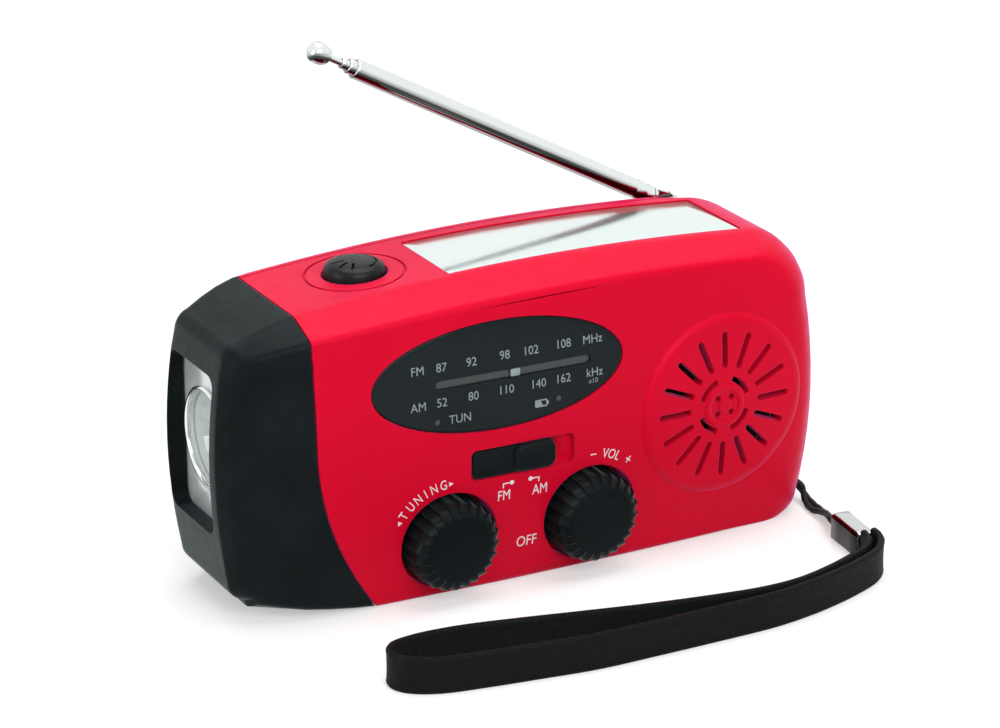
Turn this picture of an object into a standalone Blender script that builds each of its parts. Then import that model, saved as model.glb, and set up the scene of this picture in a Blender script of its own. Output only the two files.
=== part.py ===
"""Portable crank and solar radio with a torch head, a telescopic antenna and a wrist strap.

Metres, +Z up. The front face looks along -Y. The origin is on the flat base, under the middle of the case.
"""

import math

import bmesh
import bpy
from mathutils import Matrix, Vector

MM = 0.001
FULL_TURN_DEG = 360.0

# Case form
LEFT_REACH = 63.6 * MM
RIGHT_REACH = 62.8 * MM
HEIGHT = 60.3 * MM
FRONT_REACH = 22.5 * MM
REAR_REACH = 20.0 * MM
WALL = 2.0 * MM
CREST_X = 6.6 * MM
WAIST_Z = 30.0 * MM
TOP_BOW_RADIUS = 493.0 * MM
PLAN_BOW_RADIUS = 759.0 * MM
FACE_BOW_RADIUS = 146.0 * MM
LEFT_END_RADIUS = 120.0 * MM
RIGHT_END_BULGE = 1.7 * MM
TOP_RIGHT_RADIUS = 12.7 * MM
LOW_RIGHT_RADIUS = 4.3 * MM
TOP_LEFT_RADIUS = 3.0 * MM
LOW_LEFT_RADIUS = 3.6 * MM
FRONT_BELT = 11.5 * MM
REAR_BELT = 14.0 * MM
BELT_MARGIN = 1.6 * MM
END_BELT = 9.9 * MM
SHOULDER_DROP = 2.8 * MM
RIGHT_ROUNDING = 7.0 * MM
LEFT_ROUNDING = 2.2 * MM
HEAD_TAPER = 5.6 * MM
HEAD_DROP = 3.2 * MM
HEAD_LIFT = 4.2 * MM
HEAD_FOOT_LIFT = 3.0 * MM
ROUNDING_LENGTH = 22.0 * MM

# Seams and gaps
SEAM_GAP = 0.3 * MM
REST_GAP = 0.3 * MM
SNUG_GAP = 0.1 * MM
RUNNING_GAP = 0.06 * MM
WALL_GAP = 0.9 * MM
OVERRUN = 4.0 * MM
PARTING_Y = 12.2 * MM
HEAD_TOP_LENGTH = 16.5 * MM
HEAD_FOOT_LENGTH = 29.2 * MM
SEAM_TOP_X = LEFT_REACH - HEAD_TOP_LENGTH
SEAM_FOOT_X = LEFT_REACH - HEAD_FOOT_LENGTH
FAR_REACH = LEFT_REACH + RIGHT_REACH
SEAM_BEND_Z = 34.0 * MM

# Torch
WINDOW_WIDTH = 19.4 * MM
WINDOW_HEIGHT = 30.8 * MM
WINDOW_Y = 0.2 * MM
WINDOW_Z = 32.0 * MM
WINDOW_CORNER = 2.6 * MM
WINDOW_DEPTH = 4.0 * MM
LENS_MARGIN = 1.2 * MM
LENS_THICKNESS = 1.2 * MM
LENS_DOME_RADIUS = 9.0 * MM
LENS_DOME_HEIGHT = 2.4 * MM
REFLECTOR_DEPTH = 7.5 * MM
DISH_FLOOR_RADIUS = 6.4 * MM
LED_RADIUS = 2.4 * MM
LED_LENGTH = 5.2 * MM
LED_CIRCLE_RADIUS = 3.6 * MM
LED_COUNT = 3
LED_FIRST_DEG = 90.0
LED_BOARD_THICKNESS = 1.6 * MM
TUNNEL_WALL = 1.8 * MM

# Torch button
BUTTON_X = -28.8 * MM
BUTTON_Y = 1.0 * MM
BUTTON_RADIUS = 5.9 * MM
BUTTON_RISE = 2.5 * MM
BUTTON_TRAVEL = 1.2 * MM
BUTTON_FLANGE = 1.3 * MM
BUTTON_FLANGE_THICKNESS = 1.0 * MM
BUTTON_STEM_RADIUS = 1.6 * MM
BUTTON_STEM_LENGTH = 2.0 * MM
BUTTON_CLEARANCE = 0.35 * MM
SWITCH_LENGTH = 12.0 * MM
SWITCH_DEPTH = 7.0 * MM
SWITCH_HEIGHT = 6.0 * MM

# Solar panel
PANEL_LEFT_X = -14.6 * MM
PANEL_END_MARGIN = 14.6 * MM
PANEL_RIGHT_X = RIGHT_REACH - PANEL_END_MARGIN
PANEL_WIDTH = 19.2 * MM
PANEL_THICKNESS = 1.5 * MM
PANEL_SINK = 0.2 * MM
PANEL_BED = 1.6 * MM

# Dial
DIAL_X = -10.4 * MM
DIAL_Z = 43.0 * MM
DIAL_HALF_LENGTH = 25.9 * MM
DIAL_HALF_HEIGHT = 10.4 * MM
DIAL_PLATE_MARGIN = 1.1 * MM
DIAL_PLATE_THICKNESS = 0.8 * MM
SCALE_LENGTH = 32.1 * MM
SCALE_X = -7.45 * MM
SCALE_SLOT_HEIGHT = 1.5 * MM
POINTER_REST_X = -7.2 * MM
POINTER_WIDTH = 2.0 * MM
POINTER_HEIGHT = 1.1 * MM

# Band switch
BAND_LEFT_X = -16.6 * MM
BAND_LENGTH = 21.6 * MM
BAND_Z = 26.1 * MM
BAND_HEIGHT = 6.0 * MM
BAND_CORNER = 1.2 * MM
BAND_RECESS = 1.3 * MM
BAND_SLIDER_LENGTH = 17.2 * MM
BAND_TRAVEL = 3.8 * MM
BAND_PAD_RISE = 1.0 * MM
BAND_PAD_LENGTH = 8.8 * MM
BAND_STEM = 2.0 * MM
BAND_BODY_HEIGHT = 5.2 * MM
BAND_BODY_LENGTH = 17.0 * MM

# Knobs
TUNING_X = -20.6 * MM
VOLUME_X = 8.95 * MM
KNOB_Z = 11.7 * MM
WELL_RADIUS = 9.75 * MM
WELL_FLOOR_Y = -16.0 * MM
WELL_WALL = 1.4 * MM
KNOB_RADIUS = 9.25 * MM
KNOB_PROUD = 4.9 * MM
KNOB_FACE_RADIUS = 7.5 * MM
KNOB_RIDGE_DEPTH = 0.45 * MM
KNOB_RIDGES = 24
KNOB_ROUNDING = 1.5 * MM
KNOB_SOCKET_DEPTH = 5.0 * MM
KNOB_SHAFT_RADIUS = 2.5 * MM

# Tuning drive
TOOTH_MODULE = 1.0 * MM
TUNING_TEETH = 16
GEAR_THICKNESS = 2.2 * MM
GEAR_AXIAL_GAP = 0.6 * MM
TOOTH_BACKLASH = 0.12 * MM
RACK_HEIGHT = 2.4 * MM
RACK_TEETH = 9
RACK_TEETH_LEFT = 3
RACK_LEFT_X = -33.2 * MM
CARRIAGE_ARM_WIDTH = 4.0 * MM
CARRIAGE_BAR_HEIGHT = 3.2 * MM
CARRIAGE_FRONT_Y = -16.6 * MM

# Circuit board and what it carries
BOARD_LEFT_X = -34.0 * MM
BOARD_RIGHT_X = 18.0 * MM
BOARD_LOW_Z = 3.4 * MM
BOARD_HIGH_Z = 53.6 * MM
BOARD_FRONT_Y = -6.0 * MM
BOARD_THICKNESS = 1.6 * MM
BOARD_POST_RADIUS = 2.2 * MM
BOARD_POST_INSET = 2.6 * MM
CAPACITOR_SIDE = 15.0 * MM
POT_RADIUS = 8.0 * MM
POT_THICKNESS = 4.4 * MM
ROD_RADIUS = 4.0 * MM
ROD_LENGTH = 58.0 * MM
ROD_X = 10.0 * MM
ROD_Y = 4.0 * MM
ROD_Z = 49.4 * MM
COIL_WALL = 1.0 * MM
COIL_LENGTH = 12.0 * MM
COIL_X = 30.0 * MM
HOLDER_LENGTH = 5.0 * MM
HOLDER_WALL = 1.3 * MM

# Speaker
SPEAKER_END_MARGIN = 25.1 * MM
SPEAKER_X = RIGHT_REACH - SPEAKER_END_MARGIN
SPEAKER_Z = 28.4 * MM
GRILLE_RADIUS = 18.2 * MM
GRILLE_RISE = 0.8 * MM
GRILLE_RIM = 2.4 * MM
SLOT_COUNT = 16
SLOT_INNER_RADIUS = 7.5 * MM
SLOT_OUTER_RADIUS = 14.7 * MM
SLOT_WIDTH = 1.2 * MM
HUB_SLOT_RADIUS = 5.3 * MM
HUB_SLOT_WIDTH = 1.1 * MM
HUB_HOLE_RADIUS = 0.65 * MM
HUB_HOLE_CIRCLE = 2.2 * MM
HUB_COUNT = 4
HUB_FIRST_DEG = 45.0
HUB_HALF_DEG = 27.0
SPEAKER_RADIUS = 16.4 * MM
SPEAKER_FLANGE = 1.6 * MM
SPEAKER_DEPTH = 14.0 * MM
MAGNET_RADIUS = 9.0 * MM
MAGNET_DEPTH = 5.0 * MM
CONE_RADIUS = 13.6 * MM
CONE_DEPTH = 4.0 * MM
CONE_THICKNESS = 0.6 * MM

# Battery
CELL_RADIUS = 7.0 * MM
CELL_LENGTH = 50.0 * MM
CELL_END_MARGIN = 14.8 * MM
CELL_LEFT_X = RIGHT_REACH - CELL_END_MARGIN - CELL_LENGTH
CELL_Y = 3.0 * MM
CELL_NIPPLE = 1.0 * MM

# Crank and gear train
CRANK_X = 0.0 * MM
CRANK_Z = 31.0 * MM
CRANK_SHAFT_RADIUS = 2.5 * MM
CRANK_TEETH = 28
IDLER_SMALL_TEETH = 8
IDLER_LARGE_TEETH = 24
PINION_TEETH = 8
IDLER_BEARING_DEG = -10.0
GENERATOR_BEARING_DEG = 15.0
TRAIN_REAR_Y = 16.8 * MM
PLATE_THICKNESS = 1.6 * MM
PLATE_MARGIN = 7.0 * MM
STANDOFF_RADIUS = 2.4 * MM
AXLE_RADIUS = 1.0 * MM
AXLE_SEAT = 1.0 * MM
GENERATOR_RADIUS = 11.0 * MM
GENERATOR_DEPTH = 9.4 * MM
PINION_SHAFT_RADIUS = 1.0 * MM
ARM_FRONT_Y = 21.6 * MM
ARM_THICKNESS = 4.4 * MM
ARM_HUB_RADIUS = 6.0 * MM
ARM_WIDTH = 12.6 * MM
ARM_REACH = 41.5 * MM
GRIP_WINDOW_WIDTH = 8.4 * MM
GRIP_PIVOT_REACH = 37.0 * MM
GRIP_RADIUS = 3.5 * MM
GRIP_LENGTH = 13.0 * MM
GRIP_BORE_RADIUS = 1.3 * MM
KNUCKLE_RADIUS = 1.9 * MM
TRUNNION_RADIUS = 1.0 * MM
SPINDLE_RADIUS = 1.2 * MM

# Antenna
ANTENNA_END_MARGIN = 15.3 * MM
ANTENNA_X = RIGHT_REACH - ANTENNA_END_MARGIN
ANTENNA_Y = 17.1 * MM
ANTENNA_Z = 56.2 * MM
ANTENNA_TILT_DEG = 28.3
TUBE_RADIUS = 1.95 * MM
TUBE_WALL = 0.3 * MM
TUBE_START = 4.2 * MM
PLUG_REACH = 1.0 * MM
TUBE_STEP = 1.5 * MM
TIP_LENGTH = 8.1 * MM
TIP_RADIUS = 2.1 * MM
CLEVIS_RADIUS = 2.6 * MM
CLEVIS_SLOT = 2.6 * MM
TONGUE_THICKNESS = 2.0 * MM
CLEVIS_PIN_RADIUS = 0.8 * MM
CLEVIS_CAP = 0.6 * MM
POST_RADIUS = 2.0 * MM
POST_DEPTH = 4.5 * MM
CHANNEL_LEFT_X = -40.5 * MM
CHANNEL_HINGE_MARGIN = 3.5 * MM
CHANNEL_RIGHT_X = ANTENNA_X + CHANNEL_HINGE_MARGIN
CHANNEL_TIP_MARGIN = 2.5 * MM
CHANNEL_WALL_Y = 14.25 * MM
CHANNEL_CLEARANCE = 0.3 * MM
TIP_REACH = ANTENNA_X - CHANNEL_LEFT_X - CHANNEL_TIP_MARGIN
TUBE_END = TIP_REACH - TIP_LENGTH

# Cover screws
SCREW_LOW_LEFT_MARGIN = 26.0 * MM
SCREW_HIGH_LEFT_MARGIN = 23.6 * MM
SCREW_LOW_LEFT = (SCREW_LOW_LEFT_MARGIN - LEFT_REACH, 14.0 * MM)
SCREW_HIGH_LEFT = (SCREW_HIGH_LEFT_MARGIN - LEFT_REACH, 48.2 * MM)
SCREW_END_MARGIN = 9.3 * MM
SCREW_LOW_RIGHT = (RIGHT_REACH - SCREW_END_MARGIN, 9.0 * MM)
SCREW_HIGH_RIGHT = (RIGHT_REACH - SCREW_END_MARGIN, 48.2 * MM)
SCREW_SHANK_RADIUS = 1.2 * MM
SCREW_HEAD_RADIUS = 2.4 * MM
SCREW_HEAD_HEIGHT = 1.6 * MM
SCREW_LENGTH = 12.0 * MM
SCREW_SINK = 1.0 * MM
SCREW_POST_RADIUS = 3.1 * MM

# Charging socket
SOCKET_END_MARGIN = 14.4 * MM
SOCKET_X = RIGHT_REACH - SOCKET_END_MARGIN
SOCKET_Z = 38.0 * MM
SOCKET_WIDTH = 8.6 * MM
SOCKET_HEIGHT = 6.0 * MM
SOCKET_DEPTH = 6.5 * MM
SOCKET_MOUTH_WIDTH = 6.4 * MM
SOCKET_MOUTH_HEIGHT = 2.8 * MM
FLAP_WIDTH = 11.0 * MM
FLAP_HEIGHT = 10.0 * MM
FLAP_THICKNESS = 1.2 * MM
FLAP_HINGE_RADIUS = 0.6 * MM

# Wrist strap
STRAP_BAR_END_MARGIN = 3.0 * MM
STRAP_BAR_X = RIGHT_REACH - STRAP_BAR_END_MARGIN
STRAP_BAR_Y = -7.0 * MM
STRAP_BAR_RADIUS = 0.8 * MM
STRAP_BAR_SEAT = 0.8 * MM
STRAP_POCKET_LOW_Z = 3.4 * MM
STRAP_POCKET_HIGH_Z = 8.6 * MM
STRAP_POCKET_FRONT_Y = -12.6 * MM
STRAP_POCKET_REAR_Y = -3.6 * MM
STRAP_POCKET_DEPTH = 6.0 * MM
STRAP_POCKET_X = RIGHT_REACH - STRAP_POCKET_DEPTH
STRAP_CORD_RADIUS = 0.65 * MM
STRAP_CLIP_LENGTH = 11.0 * MM
STRAP_CLIP_HEIGHT = 5.6 * MM
STRAP_CLIP_THICKNESS = 4.2 * MM
BAND_WIDTH = 7.0 * MM
BAND_THICKNESS = 1.4 * MM

# Smoothness of round parts
FINE_STEPS = 32
ROUND_STEPS = 20
TUBE_STEPS = 16
SMALL_STEPS = 12
POST_STEPS = 10
TOP_SPANS = 8
END_SPANS = 4
BASE_SPANS = 6

# Shares of a size that shape the rings of the case and its patches
FACE_RING_SHARES = (0.88, 0.76, 0.38)
SHOULDER_SHARES = (0.0, 0.4, 0.75, 1.0)
CAVITY_SHARES = (0.0, 0.6, 1.0)
CAVITY_RING_SHARES = (0.76, 0.38)
PATCH_SHARES = (1.0, 0.5)
RIGHT_END_SHARES = (0.3, 0.6)
DOME_SHARES = (0.35, 0.65, 0.88, 1.0)

# The strap's cord from the clip round the bar and back, and the band's loop, in mm from the bar's foot
CORD_POINTS = (
    (-0.2, -25.2, 3.0), (0.2, -22.2, 2.3), (1.4, -18.4, 1.3), (2.4, -14.0, 0.9), (2.8, -9.4, 1.0),
    (2.8, -5.6, 2.2), (2.4, -2.4, 4.1), (2.0, 0.1, 4.7), (1.1, 1.6, 4.8), (-0.1, 2.05, 4.8),
    (-1.6, 1.4, 4.8), (-2.05, -0.2, 4.7), (-1.3, -2.2, 4.6), (0.7, -3.8, 4.8), (2.6, -5.7, 3.3),
    (1.9, -8.4, 1.1), (1.1, -12.0, 0.8), (1.0, -15.4, 1.6), (0.2, -18.9, 2.6), (-1.4, -22.4, 3.2),
    (-2.0, -25.0, 3.0),
)
BAND_POINTS = (
    (-1.4, -37.0), (-1.7, -39.4), (-3.2, -42.3), (-6.2, -45.2), (-11.2, -47.6), (-17.8, -49.9),
    (-25.8, -51.9), (-34.6, -53.1), (-46.8, -53.3), (-58.8, -53.3), (-70.8, -53.1), (-81.8, -51.7),
    (-91.5, -50.3), (-99.8, -48.7), (-105.0, -46.0), (-106.8, -42.6), (-105.2, -39.4), (-100.3, -38.3),
    (-93.8, -38.5), (-87.8, -39.4), (-79.3, -41.3), (-69.8, -43.6), (-57.8, -46.4), (-45.8, -48.7),
    (-34.8, -50.2), (-26.4, -49.9), (-18.6, -47.9), (-12.2, -45.5), (-8.4, -43.8), (-5.6, -41.6),
    (-4.2, -39.4), (-3.6, -37.0),
)
CORD_STEPS = 2
BAND_STEPS = 2

COLOURS = {
    "red_shell": ((0.64, 0.003, 0.024), 0.38, 0.0),
    "black_shell": ((0.012, 0.018, 0.02), 0.5, 0.0),
    "black_rubber": ((0.014, 0.018, 0.02), 0.6, 0.0),
    "clear_plastic": ((0.85, 0.88, 0.87), 0.05, 0.0),
    "silver": ((0.75, 0.77, 0.77), 0.18, 1.0),
    "crimp_metal": ((0.6, 0.61, 0.62), 0.3, 1.0),
    "chrome": ((0.72, 0.75, 0.74), 0.12, 1.0),
    "steel": ((0.45, 0.46, 0.47), 0.35, 1.0),
    "dial_black": ((0.012, 0.02, 0.024), 0.1, 0.0),
    "solar_glass": ((0.7, 0.78, 0.76), 0.08, 0.0),
    "white_plastic": ((0.7, 0.7, 0.66), 0.4, 0.0),
    "board_green": ((0.02, 0.12, 0.05), 0.45, 0.0),
    "brass": ((0.6, 0.42, 0.18), 0.3, 1.0),
    "ferrite": ((0.03, 0.03, 0.035), 0.7, 0.0),
    "copper": ((0.55, 0.2, 0.08), 0.35, 1.0),
    "cell_sleeve": ((0.05, 0.22, 0.12), 0.35, 0.0),
    "strap_black": ((0.01, 0.012, 0.012), 0.85, 0.0),
    "paper_cone": ((0.02, 0.02, 0.02), 0.9, 0.0),
    "led_clear": ((0.8, 0.82, 0.78), 0.1, 0.0),
}


# Scene and materials
def clear_scene():
    for thing in list(bpy.data.objects):
        bpy.data.objects.remove(thing)


def material(name):
    found = bpy.data.materials.get(name)
    if found:
        return found
    colour, roughness, metallic = COLOURS[name]
    made = bpy.data.materials.new(name)
    made.use_nodes = True
    shader = made.node_tree.nodes["Principled BSDF"]
    shader.inputs["Base Color"].default_value = (*colour, 1.0)
    shader.inputs["Roughness"].default_value = roughness
    shader.inputs["Metallic"].default_value = metallic
    return made


# Mesh helpers
def to_object(bm, name, finish, origin=(0, 0, 0), parent=None):
    """Turns a bmesh given in world places into an object whose origin is on the given point."""
    bmesh.ops.recalc_face_normals(bm, faces=bm.faces[:])
    if parent is None:
        bmesh.ops.translate(bm, verts=bm.verts[:], vec=-Vector(origin))
    mesh = bpy.data.meshes.new(name)
    bm.to_mesh(mesh)
    bm.free()
    mesh.shade_smooth()
    mesh.set_sharp_from_angle(angle=math.radians(30))
    thing = bpy.data.objects.new(name, mesh)
    thing.location = origin if parent is None else (0, 0, 0)
    thing.parent = parent
    bpy.context.scene.collection.objects.link(thing)
    if finish:
        mesh.materials.append(material(finish))
    return thing


def placed(axis, u, v, along):
    """A point given in the plane across an axis, and along it."""
    if axis == "X":
        return Vector((along, u, v))
    if axis == "Y":
        return Vector((u, along, v))
    return Vector((u, v, along))


def bridge(bm, first, second):
    count = len(first)
    for i in range(count):
        j = (i + 1) % count
        bm.faces.new((first[i], first[j], second[j], second[i]))


def fan(bm, ring, tip):
    count = len(ring)
    for i in range(count):
        bm.faces.new((ring[i], ring[(i + 1) % count], tip))


def prism(name, outline, axis, start, stop, finish=None, origin=(0, 0, 0), parent=None):
    """An outline in the plane across an axis, extruded from start to stop."""
    bm = bmesh.new()
    low = [bm.verts.new(placed(axis, u, v, start)) for u, v in outline]
    high = [bm.verts.new(placed(axis, u, v, stop)) for u, v in outline]
    bridge(bm, low, high)
    bm.faces.new(low)
    bm.faces.new(high)
    return to_object(bm, name, finish, origin, parent)


def turned(name, profile, centre, axis, finish=None, steps=ROUND_STEPS, origin=(0, 0, 0), parent=None):
    """A profile of (radius, place along the axis) turned about an axis through centre."""
    bm = bmesh.new()
    rings = []
    for radius, along in profile:
        if radius <= 0:
            rings.append(bm.verts.new(placed(axis, centre[0], centre[1], along)))
            continue
        ring = []
        for i in range(steps):
            angle = math.tau * i / steps
            u = centre[0] + radius * math.cos(angle)
            v = centre[1] + radius * math.sin(angle)
            ring.append(bm.verts.new(placed(axis, u, v, along)))
        rings.append(ring)
    closed = isinstance(rings[0], list)
    pairs = list(zip(rings, rings[1:] + rings[:1])) if closed else list(zip(rings, rings[1:]))
    for first, second in pairs:
        if isinstance(first, list) and isinstance(second, list):
            bridge(bm, first, second)
        elif isinstance(first, list):
            fan(bm, first, second)
        else:
            fan(bm, second, first)
    return to_object(bm, name, finish, origin, parent)


def cylinder(name, radius, centre, axis, start, stop, finish=None, steps=ROUND_STEPS, origin=(0, 0, 0), parent=None):
    profile = ((0, start), (radius, start), (radius, stop), (0, stop))
    return turned(name, profile, centre, axis, finish, steps, origin, parent)


def box(name, low, high, finish=None, origin=(0, 0, 0), parent=None):
    outline = ((low[0], low[1]), (high[0], low[1]), (high[0], high[1]), (low[0], high[1]))
    return prism(name, outline, "Z", low[2], high[2], finish, origin, parent)


def arc(u, v, radius, start_deg, stop_deg, count):
    points = []
    for i in range(count):
        angle = math.radians(start_deg + (stop_deg - start_deg) * i / (count - 1))
        points.append((u + radius * math.cos(angle), v + radius * math.sin(angle)))
    return points


def rounded_box(u, v, width, height, radius, count=4):
    """The outline of a rounded rectangle about a centre."""
    across = width / 2 - radius
    up = height / 2 - radius
    points = arc(u + across, v + up, radius, 0, 90, count)
    points += arc(u - across, v + up, radius, 90, 180, count)
    points += arc(u - across, v - up, radius, 180, 270, count)
    points += arc(u + across, v - up, radius, 270, 360, count)
    return points


def as_tool(thing):
    thing.hide_render = True
    thing.display_type = "WIRE"
    return thing


def joined(name, things):
    """One cutter made of several closed bodies."""
    bm = bmesh.new()
    for thing in things:
        bm.from_mesh(thing.data)
        bpy.data.meshes.remove(thing.data)
    return to_object(bm, name, None)


def boolean(target, tool, operation, overlapping=False):
    step = target.modifiers.new(tool.name, "BOOLEAN")
    step.operation = operation
    step.solver = "EXACT"
    step.use_self = overlapping
    step.object = as_tool(tool)


def cut(target, *tools):
    for tool in tools:
        boolean(target, tool, "DIFFERENCE")


def fuse(target, *tools):
    for tool in tools:
        boolean(target, tool, "UNION")


# Form of the case
def bow(distance, radius):
    """How far an arc of this radius falls away at a distance from its crest."""
    return distance * distance / (2 * radius)


def head_share(x):
    """0 at the torch head's seam, 1 at the left end."""
    return min(1.0, max(0.0, (-SEAM_TOP_X - x) / (LEFT_REACH - SEAM_TOP_X)))


def foot_share(x):
    """0 where the base starts to rise, 1 at the left end."""
    return min(1.0, max(0.0, (-SEAM_FOOT_X - x) / (LEFT_REACH - SEAM_FOOT_X)))


def right_share(x):
    """0 where the right end starts to round, 1 close to the end."""
    start = RIGHT_REACH - ROUNDING_LENGTH
    return min(1.0, max(0.0, (x - start) / (ROUNDING_LENGTH - RIGHT_ROUNDING)))


def face_depth(x, z, reach):
    """How far the front or the rear face lies from the plane y = 0."""
    depth = reach - bow(x - CREST_X, PLAN_BOW_RADIUS) - bow(z - WAIST_Z, FACE_BOW_RADIUS)
    return depth - HEAD_TAPER * head_share(x) ** 1.5


def front_y(x, z):
    return -face_depth(x, z, FRONT_REACH)


def rear_y(x, z):
    return face_depth(x, z, REAR_REACH)


def top_z(x):
    return HEIGHT - bow(x - CREST_X, TOP_BOW_RADIUS) - HEAD_DROP * head_share(x) ** 1.5


def belt_outline(inset):
    """The case outline in X and Z at its widest, moved inwards by inset."""
    right = RIGHT_REACH - inset
    left = -LEFT_REACH + inset
    low_radius = LOW_RIGHT_RADIUS - inset / 2
    top_radius = TOP_RIGHT_RADIUS - inset
    left_top_radius = TOP_LEFT_RADIUS - inset / 2
    left_low_radius = LOW_LEFT_RADIUS - inset / 2
    ceiling = top_z(right - RIGHT_END_BULGE - top_radius) - inset
    shoulder = right - RIGHT_END_BULGE
    points = arc(shoulder - low_radius, low_radius + inset, low_radius, -90, 0, 4)
    straight_low = low_radius + inset
    straight_high = ceiling - top_radius
    for share in RIGHT_END_SHARES:
        height = straight_low + (straight_high - straight_low) * share
        points.append((right - RIGHT_END_BULGE * (2 * share - 1) ** 2, height))
    points += arc(shoulder - top_radius, straight_high, top_radius, 0, 90, 7)
    corner_x = left + bow(top_z(left) - inset - WAIST_Z, LEFT_END_RADIUS) + left_top_radius
    start_x = shoulder - top_radius
    for i in range(1, TOP_SPANS + 1):
        x = start_x + (corner_x - start_x) * i / TOP_SPANS
        points.append((x, top_z(x) - inset))
    corner_z = top_z(corner_x) - inset - left_top_radius
    points += arc(corner_x, corner_z, left_top_radius, 110, 180, 3)
    foot_z = HEAD_LIFT + inset + left_low_radius
    for i in range(1, END_SPANS + 1):
        z = corner_z + (foot_z - corner_z) * i / END_SPANS
        points.append((left + bow(z - WAIST_Z, LEFT_END_RADIUS), z))
    foot_x = left + bow(foot_z - WAIST_Z, LEFT_END_RADIUS) + left_low_radius
    points += arc(foot_x, foot_z, left_low_radius, 190, 260, 3)
    stop_x = shoulder - low_radius
    for i in range(BASE_SPANS):
        x = foot_x + (stop_x - foot_x) * i / BASE_SPANS
        points.append((x, inset + HEAD_LIFT * foot_share(x) ** 2))
    return points


def shoulder_point(x, z, step, front, inset):
    """Where a point of the belt goes at a share of the way to the edge of the front or rear face."""
    right = right_share(x)
    turn = step * math.pi / 2
    height_share = min(1.0, max(0.0, (z - WAIST_Z) / (HEIGHT / 2 - WALL)))
    low_share = min(1.0, max(0.0, 1 - z / (LOW_LEFT_RADIUS + HEAD_LIFT)))
    inner_x = x - RIGHT_ROUNDING * (1 - math.cos(turn)) * right
    inner_x += LEFT_ROUNDING * step * step * head_share(x)
    inner_z = z - SHOULDER_DROP * step * height_share ** 2
    inner_z += HEAD_FOOT_LIFT * step * step * low_share * foot_share(x)
    reach = FRONT_REACH if front else REAR_REACH
    belt = FRONT_BELT if front else REAR_BELT
    edge = face_depth(inner_x, inner_z, reach) - inset
    start = min(belt + (END_BELT - belt) * right, edge - BELT_MARGIN)
    depth_share = step * (1 - right) + math.sin(turn) * right
    depth = start + (edge - start) * depth_share
    return Vector((inner_x, -depth if front else depth, inner_z))


def face_rings(bm, edge, front, inset, shares):
    """Rings that run from the edge of a face to its middle, and a fan that closes it."""
    reach = FRONT_REACH if front else REAR_REACH
    middle_x = 0.0
    middle_z = WAIST_Z
    last = edge
    corners = [vert.co.copy() for vert in edge]
    for share in shares:
        ring = []
        for corner in corners:
            x = middle_x + (corner.x - middle_x) * share
            z = middle_z + (corner.z - middle_z) * share
            depth = face_depth(x, z, reach) - inset
            ring.append(bm.verts.new((x, -depth if front else depth, z)))
        bridge(bm, last, ring)
        last = ring
    depth = face_depth(middle_x, middle_z, reach) - inset
    fan(bm, last, bm.verts.new((middle_x, -depth if front else depth, middle_z)))


def case_form(name, inset, finish=None):
    """The closed pillow form of the whole case, moved inwards by inset."""
    bm = bmesh.new()
    outline = belt_outline(inset)
    steps = CAVITY_SHARES if inset else SHOULDER_SHARES
    shares = CAVITY_RING_SHARES if inset else FACE_RING_SHARES
    sides = []
    for front in (True, False):
        rings = []
        for step in steps:
            rings.append([bm.verts.new(shoulder_point(x, z, step, front, inset)) for x, z in outline])
        for first, second in zip(rings, rings[1:]):
            bridge(bm, first, second)
        face_rings(bm, rings[-1], front, inset, shares)
        sides.append(rings[0])
    bridge(bm, sides[0], sides[1])
    return to_object(bm, name, finish)


def front_patch(name, centre, outline, sheet_out, sheet_in, finish=None):
    """A closed plate that follows the front face. Each sheet is a list of (share of the outline, offset in)."""
    bm = bmesh.new()
    previous = None
    first_ring = None
    for rows in (sheet_out, sheet_in):
        for share, offset in rows:
            if share <= 0:
                tip = bm.verts.new((centre[0], front_y(*centre) + offset, centre[1]))
                fan(bm, previous, tip)
                previous = None
                continue
            ring = []
            for u, v in outline:
                x = centre[0] + u * share
                z = centre[1] + v * share
                ring.append(bm.verts.new((x, front_y(x, z) + offset, z)))
            if previous:
                bridge(bm, previous, ring)
            previous = ring
            if first_ring is None:
                first_ring = ring
        if rows is sheet_out:
            previous = first_ring
    return to_object(bm, name, finish)


def ellipse(half_length, half_height, steps):
    points = []
    for i in range(steps):
        angle = math.tau * i / steps
        points.append((half_length * math.cos(angle), half_height * math.sin(angle)))
    return points


def solid_patch(name, centre, outline, front_offset, back_offset, finish=None):
    out = [(share, front_offset) for share in PATCH_SHARES] + [(0, front_offset)]
    back = [(share, back_offset) for share in PATCH_SHARES] + [(0, back_offset)]
    return front_patch(name, centre, outline, out, back, finish)


def seam_outline(offset, outer_x):
    """The torch head's side of the seam, in X and Z, out to a far edge."""
    points = []
    for i in range(9):
        z = -OVERRUN + (SEAM_BEND_Z + OVERRUN) * i / 8
        sweep = (SEAM_TOP_X - SEAM_FOOT_X) * (1 - z / SEAM_BEND_Z) ** 2
        points.append((-SEAM_TOP_X + sweep + offset, z))
    points.append((-SEAM_TOP_X + offset, HEIGHT + OVERRUN))
    points.append((outer_x, HEIGHT + OVERRUN))
    points.append((outer_x, -OVERRUN))
    return points


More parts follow.
